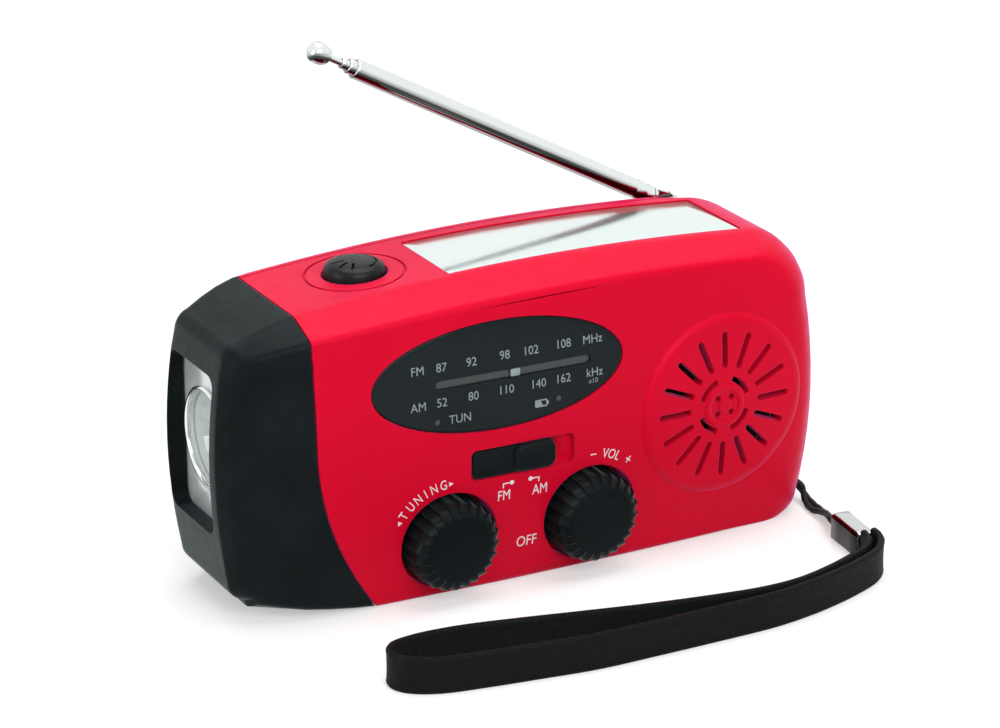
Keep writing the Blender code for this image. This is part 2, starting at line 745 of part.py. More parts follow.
# Gears
def gear_outline(teeth, centre, phase_deg):
    """A gear with straight-flanked teeth that narrow towards their tips."""
    pitch = teeth * TOOTH_MODULE / 2
    tip = pitch + TOOTH_MODULE * 0.9
    root = pitch - TOOTH_MODULE * 1.1
    half_pitch_angle = math.pi / (2 * teeth) - TOOTH_BACKLASH / (2 * pitch)
    slope = math.tan(math.radians(22))
    tip_angle = half_pitch_angle - (tip - pitch) * slope / pitch
    root_angle = half_pitch_angle + (pitch - root) * slope * 0.7 / pitch
    points = []
    for i in range(teeth):
        middle = math.radians(phase_deg) + math.tau * i / teeth
        for radius, angle in ((root, -root_angle), (tip, -tip_angle), (tip, tip_angle), (root, root_angle)):
            turn = middle + angle
            points.append((centre[0] + radius * math.cos(turn), centre[1] + radius * math.sin(turn)))
    return points


def gear(name, teeth, centre, phase_deg, start, stop, finish, bore_radius):
    wheel = prism(name, gear_outline(teeth, centre, phase_deg), "Y", start, stop, finish, (centre[0], 0, centre[1]))
    hole = cylinder(name + "_bore", bore_radius, centre, "Y", start - OVERRUN, stop + OVERRUN, None, ROUND_STEPS)
    cut(wheel, hole)
    return wheel


def pitch_radius(teeth):
    return teeth * TOOTH_MODULE / 2


def polar(centre, distance, bearing_deg):
    angle = math.radians(bearing_deg)
    return (centre[0] + distance * math.cos(angle), centre[1] + distance * math.sin(angle))


# Places worked out from the sizes above
CRANK_AXIS = (CRANK_X, CRANK_Z)
IDLER_AXIS = polar(CRANK_AXIS, pitch_radius(CRANK_TEETH) + pitch_radius(IDLER_SMALL_TEETH), IDLER_BEARING_DEG)
PINION_AXIS = polar(IDLER_AXIS, pitch_radius(IDLER_LARGE_TEETH) + pitch_radius(PINION_TEETH), GENERATOR_BEARING_DEG)
STAGE_ONE_START = TRAIN_REAR_Y - REST_GAP - GEAR_THICKNESS
STAGE_TWO_START = STAGE_ONE_START - GEAR_AXIAL_GAP - GEAR_THICKNESS
PLATE_START = STAGE_TWO_START - GEAR_AXIAL_GAP - PLATE_THICKNESS
WELL_BACK_Y = WELL_FLOOR_Y + WELL_WALL
TUNING_GEAR_START = WELL_BACK_Y + GEAR_AXIAL_GAP
BOARD_REAR_Y = BOARD_FRONT_Y + BOARD_THICKNESS
BUTTON_TOP_Z = top_z(BUTTON_X)
END_FACE_X = -LEFT_REACH
LENS_FRONT_X = END_FACE_X + WINDOW_DEPTH
REFLECTOR_FRONT_X = LENS_FRONT_X + LENS_THICKNESS + REST_GAP
REFLECTOR_BACK_X = REFLECTOR_FRONT_X + REFLECTOR_DEPTH
CHANNEL_FLOOR_Z = ANTENNA_Z - TUBE_RADIUS - CHANNEL_CLEARANCE
CELL_Z = WALL + CELL_RADIUS + REST_GAP
BOARD_POSTS = (
    (BOARD_LEFT_X + BOARD_POST_INSET, BOARD_LOW_Z + BOARD_POST_INSET),
    ((TUNING_X + VOLUME_X) / 2, BOARD_LOW_Z + BOARD_POST_INSET),
    (BOARD_RIGHT_X - BOARD_POST_INSET, SPEAKER_Z),
    (BOARD_RIGHT_X - BOARD_POST_INSET, BOARD_HIGH_Z - BOARD_POST_INSET),
)
SCREWS = (
    ("low_left", *SCREW_LOW_LEFT), ("high_left", *SCREW_HIGH_LEFT),
    ("low_right", *SCREW_LOW_RIGHT), ("high_right", *SCREW_HIGH_RIGHT),
)


def arched_slab(name, left, right, front, rear, high_offset, low_offset):
    """A slab under the arched top, between two offsets from its surface."""
    count = 10
    xs = [left + (right - left) * i / count for i in range(count + 1)]
    outline = [(x, top_z(x) + low_offset) for x in xs]
    outline += [(x, top_z(x) + high_offset) for x in reversed(xs)]
    return prism(name, outline, "Y", front, rear)


# Case shells
def cavity():
    """The empty space inside the case: the form moved inwards, less the walls that stand in it."""
    space = case_form("cavity", WALL)
    walls = []
    for name, x in (("tuning", TUNING_X), ("volume", VOLUME_X)):
        radius = WELL_RADIUS + WELL_WALL
        walls.append(cylinder(name + "_well_wall", radius, (x, KNOB_Z), "Y", -FRONT_REACH - OVERRUN, WELL_BACK_Y))
    for i, (x, z) in enumerate(BOARD_POSTS):
        stop = BOARD_FRONT_Y - REST_GAP
        walls.append(cylinder(f"board_post_{i}", BOARD_POST_RADIUS, (x, z), "Y", -FRONT_REACH, stop, None, POST_STEPS))
    for name, x, z in SCREWS:
        rear = REAR_REACH + OVERRUN
        post = cylinder(f"screw_post_{name}", SCREW_POST_RADIUS, (x, z), "Y", -FRONT_REACH, rear, None, POST_STEPS)
        walls.append(post)
    walls.append(arched_slab(
        "panel_bed", PANEL_LEFT_X - WALL, PANEL_RIGHT_X + WALL, -PANEL_WIDTH / 2 - WALL,
        PANEL_WIDTH / 2 + WALL / 2, OVERRUN, -PANEL_SINK - PANEL_THICKNESS - REST_GAP - PANEL_BED,
    ))
    channel_low = (CHANNEL_LEFT_X - WALL, CHANNEL_WALL_Y - WALL + SEAM_GAP, CHANNEL_FLOOR_Z - WALL)
    walls.append(box("channel_wall", channel_low, (CHANNEL_RIGHT_X + WALL, REAR_REACH + OVERRUN, HEIGHT + OVERRUN)))
    post_low = ANTENNA_Z - CLEVIS_RADIUS - POST_DEPTH - WALL
    walls.append(cylinder(
        "antenna_boss", POST_RADIUS + WALL, (ANTENNA_X, ANTENNA_Y), "Z", post_low, HEIGHT, None, POST_STEPS,
    ))
    tunnel = rounded_box(
        WINDOW_Y, WINDOW_Z, WINDOW_WIDTH + 2 * (LENS_MARGIN + TUNNEL_WALL),
        WINDOW_HEIGHT + 2 * (LENS_MARGIN + TUNNEL_WALL), WINDOW_CORNER + LENS_MARGIN,
    )
    walls.append(prism("window_tunnel", tunnel, "X", END_FACE_X - OVERRUN, REFLECTOR_BACK_X))
    pocket_low = (STRAP_POCKET_X - WALL, STRAP_POCKET_FRONT_Y - WALL, 0)
    pocket_high = (RIGHT_REACH, STRAP_POCKET_REAR_Y + WALL, STRAP_POCKET_HIGH_Z + WALL)
    walls.append(box("strap_pocket_wall", pocket_low, pocket_high))
    walls.append(cylinder(
        "crank_bush", CRANK_SHAFT_RADIUS + WALL, CRANK_AXIS, "Y", TRAIN_REAR_Y, REAR_REACH, None, POST_STEPS,
    ))
    walls.append(cylinder(
        "axle_boss", AXLE_RADIUS + WALL, IDLER_AXIS, "Y", TRAIN_REAR_Y, REAR_REACH, None, POST_STEPS,
    ))
    boolean(space, joined("inner_walls", walls), "DIFFERENCE", True)
    return as_tool(space)


def standoff_places():
    """Where the gear plate is carried: one post past the crank's wheel, one under and one over the generator."""
    near = CRANK_X - pitch_radius(CRANK_TEETH) - TOOTH_MODULE - STANDOFF_RADIUS - REST_GAP
    spread = GENERATOR_RADIUS + STANDOFF_RADIUS + REST_GAP
    return ((near, CRANK_Z), (PINION_AXIS[0], PINION_AXIS[1] - spread), (PINION_AXIS[0], PINION_AXIS[1] + spread))


def grille_slots():
    """All the slots and holes of the speaker grille as one cutter."""
    bm = bmesh.new()
    start = -FRONT_REACH - OVERRUN
    stop = -FRONT_REACH + WALL + OVERRUN

    def add(outline):
        low = [bm.verts.new((u, start, v)) for u, v in outline]
        high = [bm.verts.new((u, stop, v)) for u, v in outline]
        bridge(bm, low, high)
        bm.faces.new(low)
        bm.faces.new(high)

    half = SLOT_WIDTH / 2
    slot = arc(SLOT_OUTER_RADIUS - half, 0, half, -90, 90, 3) + arc(SLOT_INNER_RADIUS + half, 0, half, 90, 270, 3)
    for i in range(SLOT_COUNT):
        turn = math.tau * i / SLOT_COUNT
        outline = []
        for u, v in slot:
            outline.append((
                SPEAKER_X + u * math.cos(turn) - v * math.sin(turn),
                SPEAKER_Z + u * math.sin(turn) + v * math.cos(turn),
            ))
        add(outline)
    for i in range(HUB_COUNT):
        middle = HUB_FIRST_DEG + FULL_TURN_DEG * i / HUB_COUNT
        inner = HUB_SLOT_RADIUS - HUB_SLOT_WIDTH / 2
        outer = HUB_SLOT_RADIUS + HUB_SLOT_WIDTH / 2
        ring = arc(SPEAKER_X, SPEAKER_Z, outer, middle - HUB_HALF_DEG, middle + HUB_HALF_DEG, 4)
        ring += arc(SPEAKER_X, SPEAKER_Z, inner, middle + HUB_HALF_DEG, middle - HUB_HALF_DEG, 4)
        add(ring)
        hole = polar((SPEAKER_X, SPEAKER_Z), HUB_HOLE_CIRCLE, middle)
        add(arc(hole[0], hole[1], HUB_HOLE_RADIUS, 0, 300, 6))
    return to_object(bm, "grille_slots", None)


def make_front_shell(space):
    shell = case_form("front_shell", 0, "red_shell")
    rim = (GRILLE_RADIUS - GRILLE_RIM) / GRILLE_RADIUS
    grille = front_patch(
        "grille_disc", (SPEAKER_X, SPEAKER_Z), ellipse(GRILLE_RADIUS, GRILLE_RADIUS, FINE_STEPS),
        [(1, 0), (rim, -GRILLE_RISE), (rim / 2, -GRILLE_RISE), (0, -GRILLE_RISE)],
        [(1, WALL / 2), (rim / 2, WALL / 2), (0, WALL / 2)],
    )
    fuse(shell, grille)
    cut(shell, space)
    front = -FRONT_REACH - OVERRUN
    far = (FAR_REACH, FAR_REACH, FAR_REACH)
    tools = [box("front_shell_rear", (-FAR_REACH, PARTING_Y - SEAM_GAP / 2, -FAR_REACH), far)]
    tools.append(prism("front_shell_seam", seam_outline(SEAM_GAP / 2, -FAR_REACH), "Y", -FAR_REACH, FAR_REACH))
    for name, x in (("tuning", TUNING_X), ("volume", VOLUME_X)):
        hole_radius = KNOB_SHAFT_RADIUS + REST_GAP
        profile = [(0, front), (WELL_RADIUS, front), (WELL_RADIUS, WELL_FLOOR_Y), (hole_radius, WELL_FLOOR_Y)]
        profile += [(hole_radius, WELL_BACK_Y + OVERRUN), (0, WELL_BACK_Y + OVERRUN)]
        tools.append(turned(name + "_well", profile, (x, KNOB_Z), "Y", None, FINE_STEPS))
    opening = [(DIAL_X + u, DIAL_Z + v) for u, v in ellipse(DIAL_HALF_LENGTH, DIAL_HALF_HEIGHT, FINE_STEPS)]
    tools.append(prism("dial_opening", opening, "Y", front, -FRONT_REACH + WALL + OVERRUN))
    middle_x = BAND_LEFT_X + BAND_LENGTH / 2
    recess = rounded_box(middle_x, BAND_Z, BAND_LENGTH, BAND_HEIGHT, BAND_CORNER)
    tools.append(prism("band_recess", recess, "Y", front, front_y(middle_x, BAND_Z) + BAND_RECESS))
    tools.append(prism("band_stem_slot", stem_slot(), "Y", front + OVERRUN, -FRONT_REACH + WALL + OVERRUN))
    tools.append(grille_slots())
    tools.append(arched_slab(
        "panel_recess", PANEL_LEFT_X - REST_GAP, PANEL_RIGHT_X + REST_GAP,
        -PANEL_WIDTH / 2 - REST_GAP, PANEL_WIDTH / 2 + REST_GAP, OVERRUN,
        -PANEL_SINK - PANEL_THICKNESS - REST_GAP,
    ))
    tools.append(cylinder(
        "button_hole", BUTTON_RADIUS + BUTTON_CLEARANCE, (BUTTON_X, BUTTON_Y), "Z",
        BUTTON_TOP_Z - WALL - OVERRUN, HEIGHT + OVERRUN,
    ))
    tools.append(box(
        "strap_pocket", (STRAP_POCKET_X, STRAP_POCKET_FRONT_Y, STRAP_POCKET_LOW_Z),
        (RIGHT_REACH + OVERRUN, STRAP_POCKET_REAR_Y, STRAP_POCKET_HIGH_Z),
    ))
    tools.append(cylinder(
        "strap_bar_hole", STRAP_BAR_RADIUS + SNUG_GAP, (STRAP_BAR_X, STRAP_BAR_Y), "Z",
        STRAP_POCKET_LOW_Z - STRAP_BAR_SEAT, STRAP_POCKET_HIGH_Z + STRAP_BAR_SEAT, None, SMALL_STEPS,
    ))
    for name, x, z in SCREWS:
        pilot = SCREW_SHANK_RADIUS + SNUG_GAP
        stop = PARTING_Y + OVERRUN
        start = screw_tip(x, z) - WALL
        tools.append(cylinder(f"pilot_{name}", pilot, (x, z), "Y", start, stop, None, POST_STEPS))
    boolean(shell, joined("front_shell_cuts", tools), "DIFFERENCE", True)
    return shell


def stem_slot():
    width = BAND_STEM + BAND_TRAVEL + 2 * REST_GAP
    middle_x = BAND_LEFT_X + BAND_LENGTH / 2
    return rounded_box(middle_x, BAND_Z, width, BAND_STEM + 2 * REST_GAP, REST_GAP, 2)


def screw_head_y(x, z):
    return rear_y(x, z) - SCREW_SINK


def screw_tip(x, z):
    return screw_head_y(x, z) - SCREW_LENGTH


def make_rear_cover(space):
    cover = case_form("rear_cover", 0, "red_shell")
    cut(cover, space)
    far = (FAR_REACH, PARTING_Y + SEAM_GAP / 2, FAR_REACH)
    tools = [box("rear_cover_front", (-FAR_REACH, -FAR_REACH, -FAR_REACH), far)]
    tools.append(prism("rear_cover_seam", seam_outline(SEAM_GAP / 2, -FAR_REACH), "Y", -FAR_REACH, FAR_REACH))
    channel_low = (CHANNEL_LEFT_X, CHANNEL_WALL_Y, CHANNEL_FLOOR_Z)
    tools.append(box("antenna_channel", channel_low, (CHANNEL_RIGHT_X, FAR_REACH, FAR_REACH)))
    post_low = ANTENNA_Z - CLEVIS_RADIUS - POST_DEPTH - REST_GAP
    post_radius = POST_RADIUS + RUNNING_GAP
    tools.append(cylinder("antenna_post_hole", post_radius, (ANTENNA_X, ANTENNA_Y), "Z", post_low, ANTENNA_Z))
    bore = CRANK_SHAFT_RADIUS + RUNNING_GAP
    tools.append(cylinder("crank_shaft_hole", bore, CRANK_AXIS, "Y", PARTING_Y, FAR_REACH))
    axle = AXLE_RADIUS + SNUG_GAP
    stop = TRAIN_REAR_Y + AXLE_SEAT
    tools.append(cylinder("axle_hole", axle, IDLER_AXIS, "Y", PARTING_Y, stop, None, SMALL_STEPS))
    for name, x, z in SCREWS:
        seat = screw_head_y(x, z) - SCREW_HEAD_HEIGHT - REST_GAP
        head_radius = SCREW_HEAD_RADIUS + REST_GAP
        shank_radius = SCREW_SHANK_RADIUS + SNUG_GAP
        profile = [(0, 0), (shank_radius, 0), (shank_radius, seat), (head_radius, seat)]
        profile += [(head_radius, FAR_REACH), (0, FAR_REACH)]
        tools.append(turned(f"screw_hole_{name}", profile, (x, z), "Y", None, SMALL_STEPS))
    outside = flap_seat_y()
    tools.append(box(
        "socket_opening", (SOCKET_X - SOCKET_MOUTH_WIDTH / 2, PARTING_Y, SOCKET_Z - SOCKET_MOUTH_HEIGHT / 2),
        (SOCKET_X + SOCKET_MOUTH_WIDTH / 2, FAR_REACH, SOCKET_Z + SOCKET_MOUTH_HEIGHT / 2),
    ))
    seat_low = (SOCKET_X - FLAP_WIDTH / 2 - REST_GAP, outside, SOCKET_Z - FLAP_HEIGHT / 2 - REST_GAP)
    seat_high = (SOCKET_X + FLAP_WIDTH / 2 + REST_GAP, FAR_REACH, SOCKET_Z + FLAP_HEIGHT / 2 + REST_GAP)
    tools.append(box("flap_seat", seat_low, seat_high))
    boolean(cover, joined("rear_cover_cuts", tools), "DIFFERENCE", True)
    posts = []
    for i, (x, z) in enumerate(standoff_places()):
        start = PLATE_START + PLATE_THICKNESS + REST_GAP
        stop = rear_y(x, z) - WALL / 2
        posts.append(cylinder(f"standoff_{i}", STANDOFF_RADIUS, (x, z), "Y", start, stop, None, POST_STEPS))
    fuse(cover, joined("standoffs", posts))
    return cover


def flap_seat_y():
    return rear_y(SOCKET_X + FLAP_WIDTH / 2, SOCKET_Z) - FLAP_THICKNESS


def make_torch_head(space):
    head = case_form("torch_head", 0, "black_shell")
    seam = prism("torch_head_seam", seam_outline(-SEAM_GAP / 2, FAR_REACH), "Y", -FAR_REACH, FAR_REACH)
    opening = rounded_box(WINDOW_Y, WINDOW_Z, WINDOW_WIDTH, WINDOW_HEIGHT, WINDOW_CORNER)
    window = prism("torch_window", opening, "X", -FAR_REACH, FAR_REACH)
    inner = rounded_box(WINDOW_Y, WINDOW_Z, lens_width() + 2 * REST_GAP, lens_height() + 2 * REST_GAP, WINDOW_CORNER)
    seat = prism("lens_seat", inner, "X", LENS_FRONT_X - REST_GAP, FAR_REACH)
    cut(head, space)
    boolean(head, joined("torch_head_cuts", [seam, window, seat]), "DIFFERENCE", True)
    return head


def lens_width():
    return WINDOW_WIDTH + 2 * LENS_MARGIN


def lens_height():
    return WINDOW_HEIGHT + 2 * LENS_MARGIN


# Torch
def make_torch():
    back = LENS_FRONT_X + LENS_THICKNESS
    outline = rounded_box(WINDOW_Y, WINDOW_Z, lens_width(), lens_height(), WINDOW_CORNER)
    lens = prism("torch_lens", outline, "X", LENS_FRONT_X, back, "clear_plastic")
    profile = [(0, LENS_FRONT_X - LENS_DOME_HEIGHT)]
    for share in DOME_SHARES:
        height = LENS_DOME_HEIGHT * (1 - share * share)
        profile.append((LENS_DOME_RADIUS * share, LENS_FRONT_X - height))
    profile.append((LENS_DOME_RADIUS, back - LENS_THICKNESS / 2))
    profile.append((0, back - LENS_THICKNESS / 2))
    fuse(lens, turned("lens_dome", profile, (WINDOW_Y, WINDOW_Z), "X"))

    outline = rounded_box(WINDOW_Y, WINDOW_Z, lens_width(), lens_height(), WINDOW_CORNER)
    reflector = prism("torch_reflector", outline, "X", REFLECTOR_FRONT_X, REFLECTOR_BACK_X, "silver")
    floor = REFLECTOR_BACK_X - LENS_THICKNESS
    dish = [(0, REFLECTOR_FRONT_X - OVERRUN), (LENS_DOME_RADIUS, REFLECTOR_FRONT_X - OVERRUN)]
    dish += [(LENS_DOME_RADIUS, REFLECTOR_FRONT_X), (DISH_FLOOR_RADIUS, floor), (0, floor)]
    hollows = [turned("reflector_dish", dish, (WINDOW_Y, WINDOW_Z), "X")]
    board_start = REFLECTOR_BACK_X + REST_GAP
    board_outline = rounded_box(WINDOW_Y, WINDOW_Z, lens_width(), lens_height(), WINDOW_CORNER)
    prism("led_board", board_outline, "X", board_start, board_start + LED_BOARD_THICKNESS, "board_green")
    for i in range(LED_COUNT):
        place = polar((WINDOW_Y, WINDOW_Z), LED_CIRCLE_RADIUS, LED_FIRST_DEG + FULL_TURN_DEG * i / LED_COUNT)
        start = board_start - REST_GAP
        hole_radius = LED_RADIUS + SNUG_GAP
        hole = cylinder(f"led_hole_{i}", hole_radius, place, "X", floor - REST_GAP, start + OVERRUN, None, SMALL_STEPS)
        hollows.append(hole)
        tip = start - LED_LENGTH
        bulb = [(0, start), (LED_RADIUS, start), (LED_RADIUS, tip + LED_RADIUS)]
        bulb += [(LED_RADIUS * 0.75, tip + LED_RADIUS * 0.35), (0, tip)]
        turned(f"torch_led_{i + 1}", bulb, place, "X", "led_clear", SMALL_STEPS)
    boolean(reflector, joined("reflector_hollows", hollows), "DIFFERENCE", True)


def make_torch_button():
    ceiling = BUTTON_TOP_Z - bow(BUTTON_RADIUS + BUTTON_FLANGE, TOP_BOW_RADIUS) - WALL
    flange_top = ceiling - 2 * REST_GAP
    flange_low = flange_top - BUTTON_FLANGE_THICKNESS
    stem_low = flange_low - BUTTON_STEM_LENGTH
    top = BUTTON_TOP_Z + BUTTON_RISE
    edge = BUTTON_TOP_Z + BUTTON_RISE * 0.35
    profile = [
        (0, top), (BUTTON_RADIUS * 0.45, top - BUTTON_RISE * 0.08), (BUTTON_RADIUS * 0.8, top - BUTTON_RISE * 0.28),
        (BUTTON_RADIUS * 0.96, edge), (BUTTON_RADIUS, BUTTON_TOP_Z), (BUTTON_RADIUS, flange_top),
        (BUTTON_RADIUS + BUTTON_FLANGE, flange_top), (BUTTON_RADIUS + BUTTON_FLANGE, flange_low),
        (BUTTON_STEM_RADIUS, flange_low), (BUTTON_STEM_RADIUS, stem_low), (0, stem_low),
    ]
    place = (BUTTON_X, BUTTON_Y)
    turned("torch_button", profile, place, "Z", "black_rubber", ROUND_STEPS, (BUTTON_X, BUTTON_Y, BUTTON_TOP_Z))
    switch_top = stem_low + BUTTON_TRAVEL / 2
    low = (BUTTON_X - SWITCH_LENGTH / 2, BUTTON_Y - SWITCH_DEPTH / 2, switch_top - SWITCH_HEIGHT)
    high = (BUTTON_X + SWITCH_LENGTH / 2, BUTTON_Y + SWITCH_DEPTH / 2, switch_top)
    body = box("torch_switch", low, high, "black_shell")
    well_low = stem_low - BUTTON_TRAVEL - REST_GAP
    cut(body, cylinder("switch_well", BUTTON_STEM_RADIUS + REST_GAP, place, "Z", well_low, switch_top + OVERRUN))
    shelf_low = (low[0], BOARD_REAR_Y + REST_GAP, low[2] - WALL)
    shelf_high = (high[0], high[1], low[2] + WALL / 2)
    fuse(body, box("switch_shelf", shelf_low, shelf_high))


def make_solar_panel():
    panel = arched_slab(
        "solar_panel", PANEL_LEFT_X, PANEL_RIGHT_X, -PANEL_WIDTH / 2, PANEL_WIDTH / 2,
        -PANEL_SINK, -PANEL_SINK - PANEL_THICKNESS,
    )
    panel.data.materials.append(material("solar_glass"))


# Dial, pointer and tuning drive
def make_dial():
    window_outline = ellipse(DIAL_HALF_LENGTH - SNUG_GAP, DIAL_HALF_HEIGHT - SNUG_GAP, FINE_STEPS)
    solid_patch("dial_window", (DIAL_X, DIAL_Z), window_outline, 0, WALL, "clear_plastic")
    margin = DIAL_PLATE_MARGIN
    plate_outline = ellipse(DIAL_HALF_LENGTH + margin, DIAL_HALF_HEIGHT + margin, FINE_STEPS)
    start = WALL + WALL_GAP
    plate = solid_patch(
        "dial_plate", (DIAL_X, DIAL_Z), plate_outline, start, start + DIAL_PLATE_THICKNESS, "dial_black",
    )
    slot = rounded_box(SCALE_X, DIAL_Z, SCALE_LENGTH, SCALE_SLOT_HEIGHT, SCALE_SLOT_HEIGHT / 2)
    cut(plate, prism("scale_slot", slot, "Y", -FRONT_REACH - OVERRUN, CARRIAGE_FRONT_Y))


def rack_outline():
    """The rack's outline in X and Z, with teeth that point down at the tuning gear."""
    pitch_z = KNOB_Z + pitch_radius(TUNING_TEETH)
    step = math.pi * TOOTH_MODULE
    slope = math.tan(math.radians(22))
    tip = pitch_z - TOOTH_MODULE * 0.9
    root = pitch_z + TOOTH_MODULE * 1.1
    half = step / 4 - TOOTH_BACKLASH / 2
    points = []
    for i in range(RACK_TEETH):
        middle = TUNING_X + step * (i - RACK_TEETH_LEFT)
        points.append((middle - half - TOOTH_MODULE * 1.1 * slope, root))
        points.append((middle - half + TOOTH_MODULE * 0.9 * slope, tip))
        points.append((middle + half - TOOTH_MODULE * 0.9 * slope, tip))
        points.append((middle + half + TOOTH_MODULE * 1.1 * slope, root))
    end = points[-1][0] + TOOTH_MODULE
    points.append((end, root))
    points.append((end, root + RACK_HEIGHT))
    points.append((RACK_LEFT_X, root + RACK_HEIGHT))
    points.append((RACK_LEFT_X, root))
    return points


def make_tuning_drive():
    knob_place = (TUNING_X, KNOB_Z)
    origin = (TUNING_X, 0, KNOB_Z)
    gear_stop = TUNING_GEAR_START + GEAR_THICKNESS
    gear("tuning_gear", TUNING_TEETH, knob_place, 90 + 180 / TUNING_TEETH, TUNING_GEAR_START, gear_stop,
         "white_plastic", KNOB_SHAFT_RADIUS + SNUG_GAP)
    body_front = BOARD_FRONT_Y - REST_GAP - POT_THICKNESS
    shaft_stop = body_front + POT_THICKNESS / 2
    shaft_start = WELL_FLOOR_Y - REST_GAP - KNOB_SOCKET_DEPTH
    cylinder("tuning_shaft", KNOB_SHAFT_RADIUS, knob_place, "Y", shaft_start, shaft_stop, "white_plastic",
             ROUND_STEPS, origin)
    side = rounded_box(TUNING_X, KNOB_Z, CAPACITOR_SIDE, CAPACITOR_SIDE, TOOTH_MODULE)
    body = prism("tuning_capacitor", side, "Y", body_front, BOARD_FRONT_Y - REST_GAP, "white_plastic")
    hole = KNOB_SHAFT_RADIUS + RUNNING_GAP
    cut(body, cylinder("capacitor_hole", hole, knob_place, "Y", body_front - OVERRUN, shaft_stop + REST_GAP))

    carriage = prism("dial_pointer", rack_outline(), "Y", TUNING_GEAR_START, gear_stop, "white_plastic",
                     (POINTER_REST_X, 0, DIAL_Z))
    arm_low = (RACK_LEFT_X, TUNING_GEAR_START, KNOB_Z + pitch_radius(TUNING_TEETH) + RACK_HEIGHT / 2)
    arm_high = (RACK_LEFT_X + CARRIAGE_ARM_WIDTH, gear_stop, DIAL_Z + CARRIAGE_BAR_HEIGHT / 2)
    bar_low = (RACK_LEFT_X, CARRIAGE_FRONT_Y, DIAL_Z - CARRIAGE_BAR_HEIGHT / 2)
    bar_high = (POINTER_REST_X + POINTER_WIDTH, gear_stop, DIAL_Z + CARRIAGE_BAR_HEIGHT / 2)
    tip_low = (POINTER_REST_X - POINTER_WIDTH / 2, pointer_front_y(), DIAL_Z - POINTER_HEIGHT / 2)
    tip_high = (POINTER_REST_X + POINTER_WIDTH / 2, CARRIAGE_FRONT_Y + WALL, DIAL_Z + POINTER_HEIGHT / 2)
    fuse(carriage, box("carriage_arm", arm_low, arm_high), box("carriage_bar", bar_low, bar_high),
         box("pointer_tip", tip_low, tip_high))


def pointer_front_y():
    """The pointer's tip stays behind the dial window over its whole travel."""
    return front_y(SCALE_X - SCALE_LENGTH / 2, DIAL_Z) + WALL + REST_GAP


def make_volume_drive():
    place = (VOLUME_X, KNOB_Z)
    body_front = BOARD_FRONT_Y - REST_GAP - POT_THICKNESS
    shaft_stop = body_front + POT_THICKNESS / 2
    shaft_start = WELL_FLOOR_Y - REST_GAP - KNOB_SOCKET_DEPTH
    cylinder("volume_shaft", KNOB_SHAFT_RADIUS, place, "Y", shaft_start, shaft_stop, "white_plastic",
             ROUND_STEPS, (VOLUME_X, 0, KNOB_Z))
    body = cylinder("volume_potentiometer", POT_RADIUS, place, "Y", body_front, BOARD_FRONT_Y - REST_GAP, "steel")
    hole = KNOB_SHAFT_RADIUS + RUNNING_GAP
    cut(body, cylinder("potentiometer_hole", hole, place, "Y", body_front - OVERRUN, shaft_stop + REST_GAP))


def make_knob(name, x):
    """A ridged knob: rings of one outline, drawn in towards its flat face."""
    bm = bmesh.new()
    back = WELL_FLOOR_Y - REST_GAP
    face = front_y(x, KNOB_Z) - KNOB_PROUD
    count = KNOB_RIDGES * 2
    layers = (
        (KNOB_RADIUS, KNOB_RIDGE_DEPTH, back),
        (KNOB_RADIUS, KNOB_RIDGE_DEPTH, face + KNOB_ROUNDING),
        (KNOB_RADIUS - KNOB_ROUNDING * 0.35, KNOB_RIDGE_DEPTH, face + KNOB_ROUNDING * 0.3),
        (KNOB_FACE_RADIUS, 0, face),
    )
    rings = []
    for radius, ridge, y in layers:
        ring = []
        for i in range(count):
            reach = radius - (ridge if i % 2 else 0)
            angle = math.tau * i / count
            ring.append(bm.verts.new((x + reach * math.cos(angle), y, KNOB_Z + reach * math.sin(angle))))
        rings.append(ring)
    for first, second in zip(rings, rings[1:]):
        bridge(bm, first, second)
    bm.faces.new(rings[0])
    bm.faces.new(rings[-1])
    knob = to_object(bm, name, "black_shell", (x, 0, KNOB_Z))
    socket_radius = KNOB_SHAFT_RADIUS + SNUG_GAP
    stop = back - KNOB_SOCKET_DEPTH - REST_GAP
    cut(knob, cylinder(name + "_socket", socket_radius, (x, KNOB_Z), "Y", stop, back + OVERRUN))


# Band switch
def make_band_switch():
    middle_x = BAND_LEFT_X + BAND_LENGTH / 2
    face = front_y(middle_x, BAND_Z)
    floor = face + BAND_RECESS - REST_GAP
    left = BAND_LEFT_X + REST_GAP
    height = BAND_HEIGHT - 2 * REST_GAP
    outline = rounded_box(left + BAND_SLIDER_LENGTH / 2, BAND_Z, BAND_SLIDER_LENGTH, height, BAND_CORNER)
    stem_x = middle_x - BAND_TRAVEL / 2
    slider = prism("band_slider", outline, "Y", face, floor, "black_shell", (stem_x, 0, BAND_Z))
    pad_x = left + BAND_SLIDER_LENGTH - BAND_PAD_LENGTH / 2
    pad = rounded_box(pad_x, BAND_Z, BAND_PAD_LENGTH, height, BAND_CORNER)
    body_front = face + WALL + WALL_GAP
    stem_stop = body_front + WALL
    stem = rounded_box(stem_x, BAND_Z, BAND_STEM, BAND_STEM, REST_GAP, 2)
    fuse(slider, prism("band_pad", pad, "Y", face - BAND_PAD_RISE, face + BAND_RECESS / 2),
         prism("band_stem", stem, "Y", face + BAND_RECESS / 3, stem_stop))
    low = (middle_x - BAND_BODY_LENGTH / 2, body_front, BAND_Z - BAND_BODY_HEIGHT / 2)
    high = (middle_x + BAND_BODY_LENGTH / 2, BOARD_FRONT_Y - REST_GAP, BAND_Z + BAND_BODY_HEIGHT / 2)
    body = box("band_switch", low, high, "steel")
    cut(body, prism("band_switch_slot", stem_slot(), "Y", body_front - OVERRUN, stem_stop + REST_GAP))


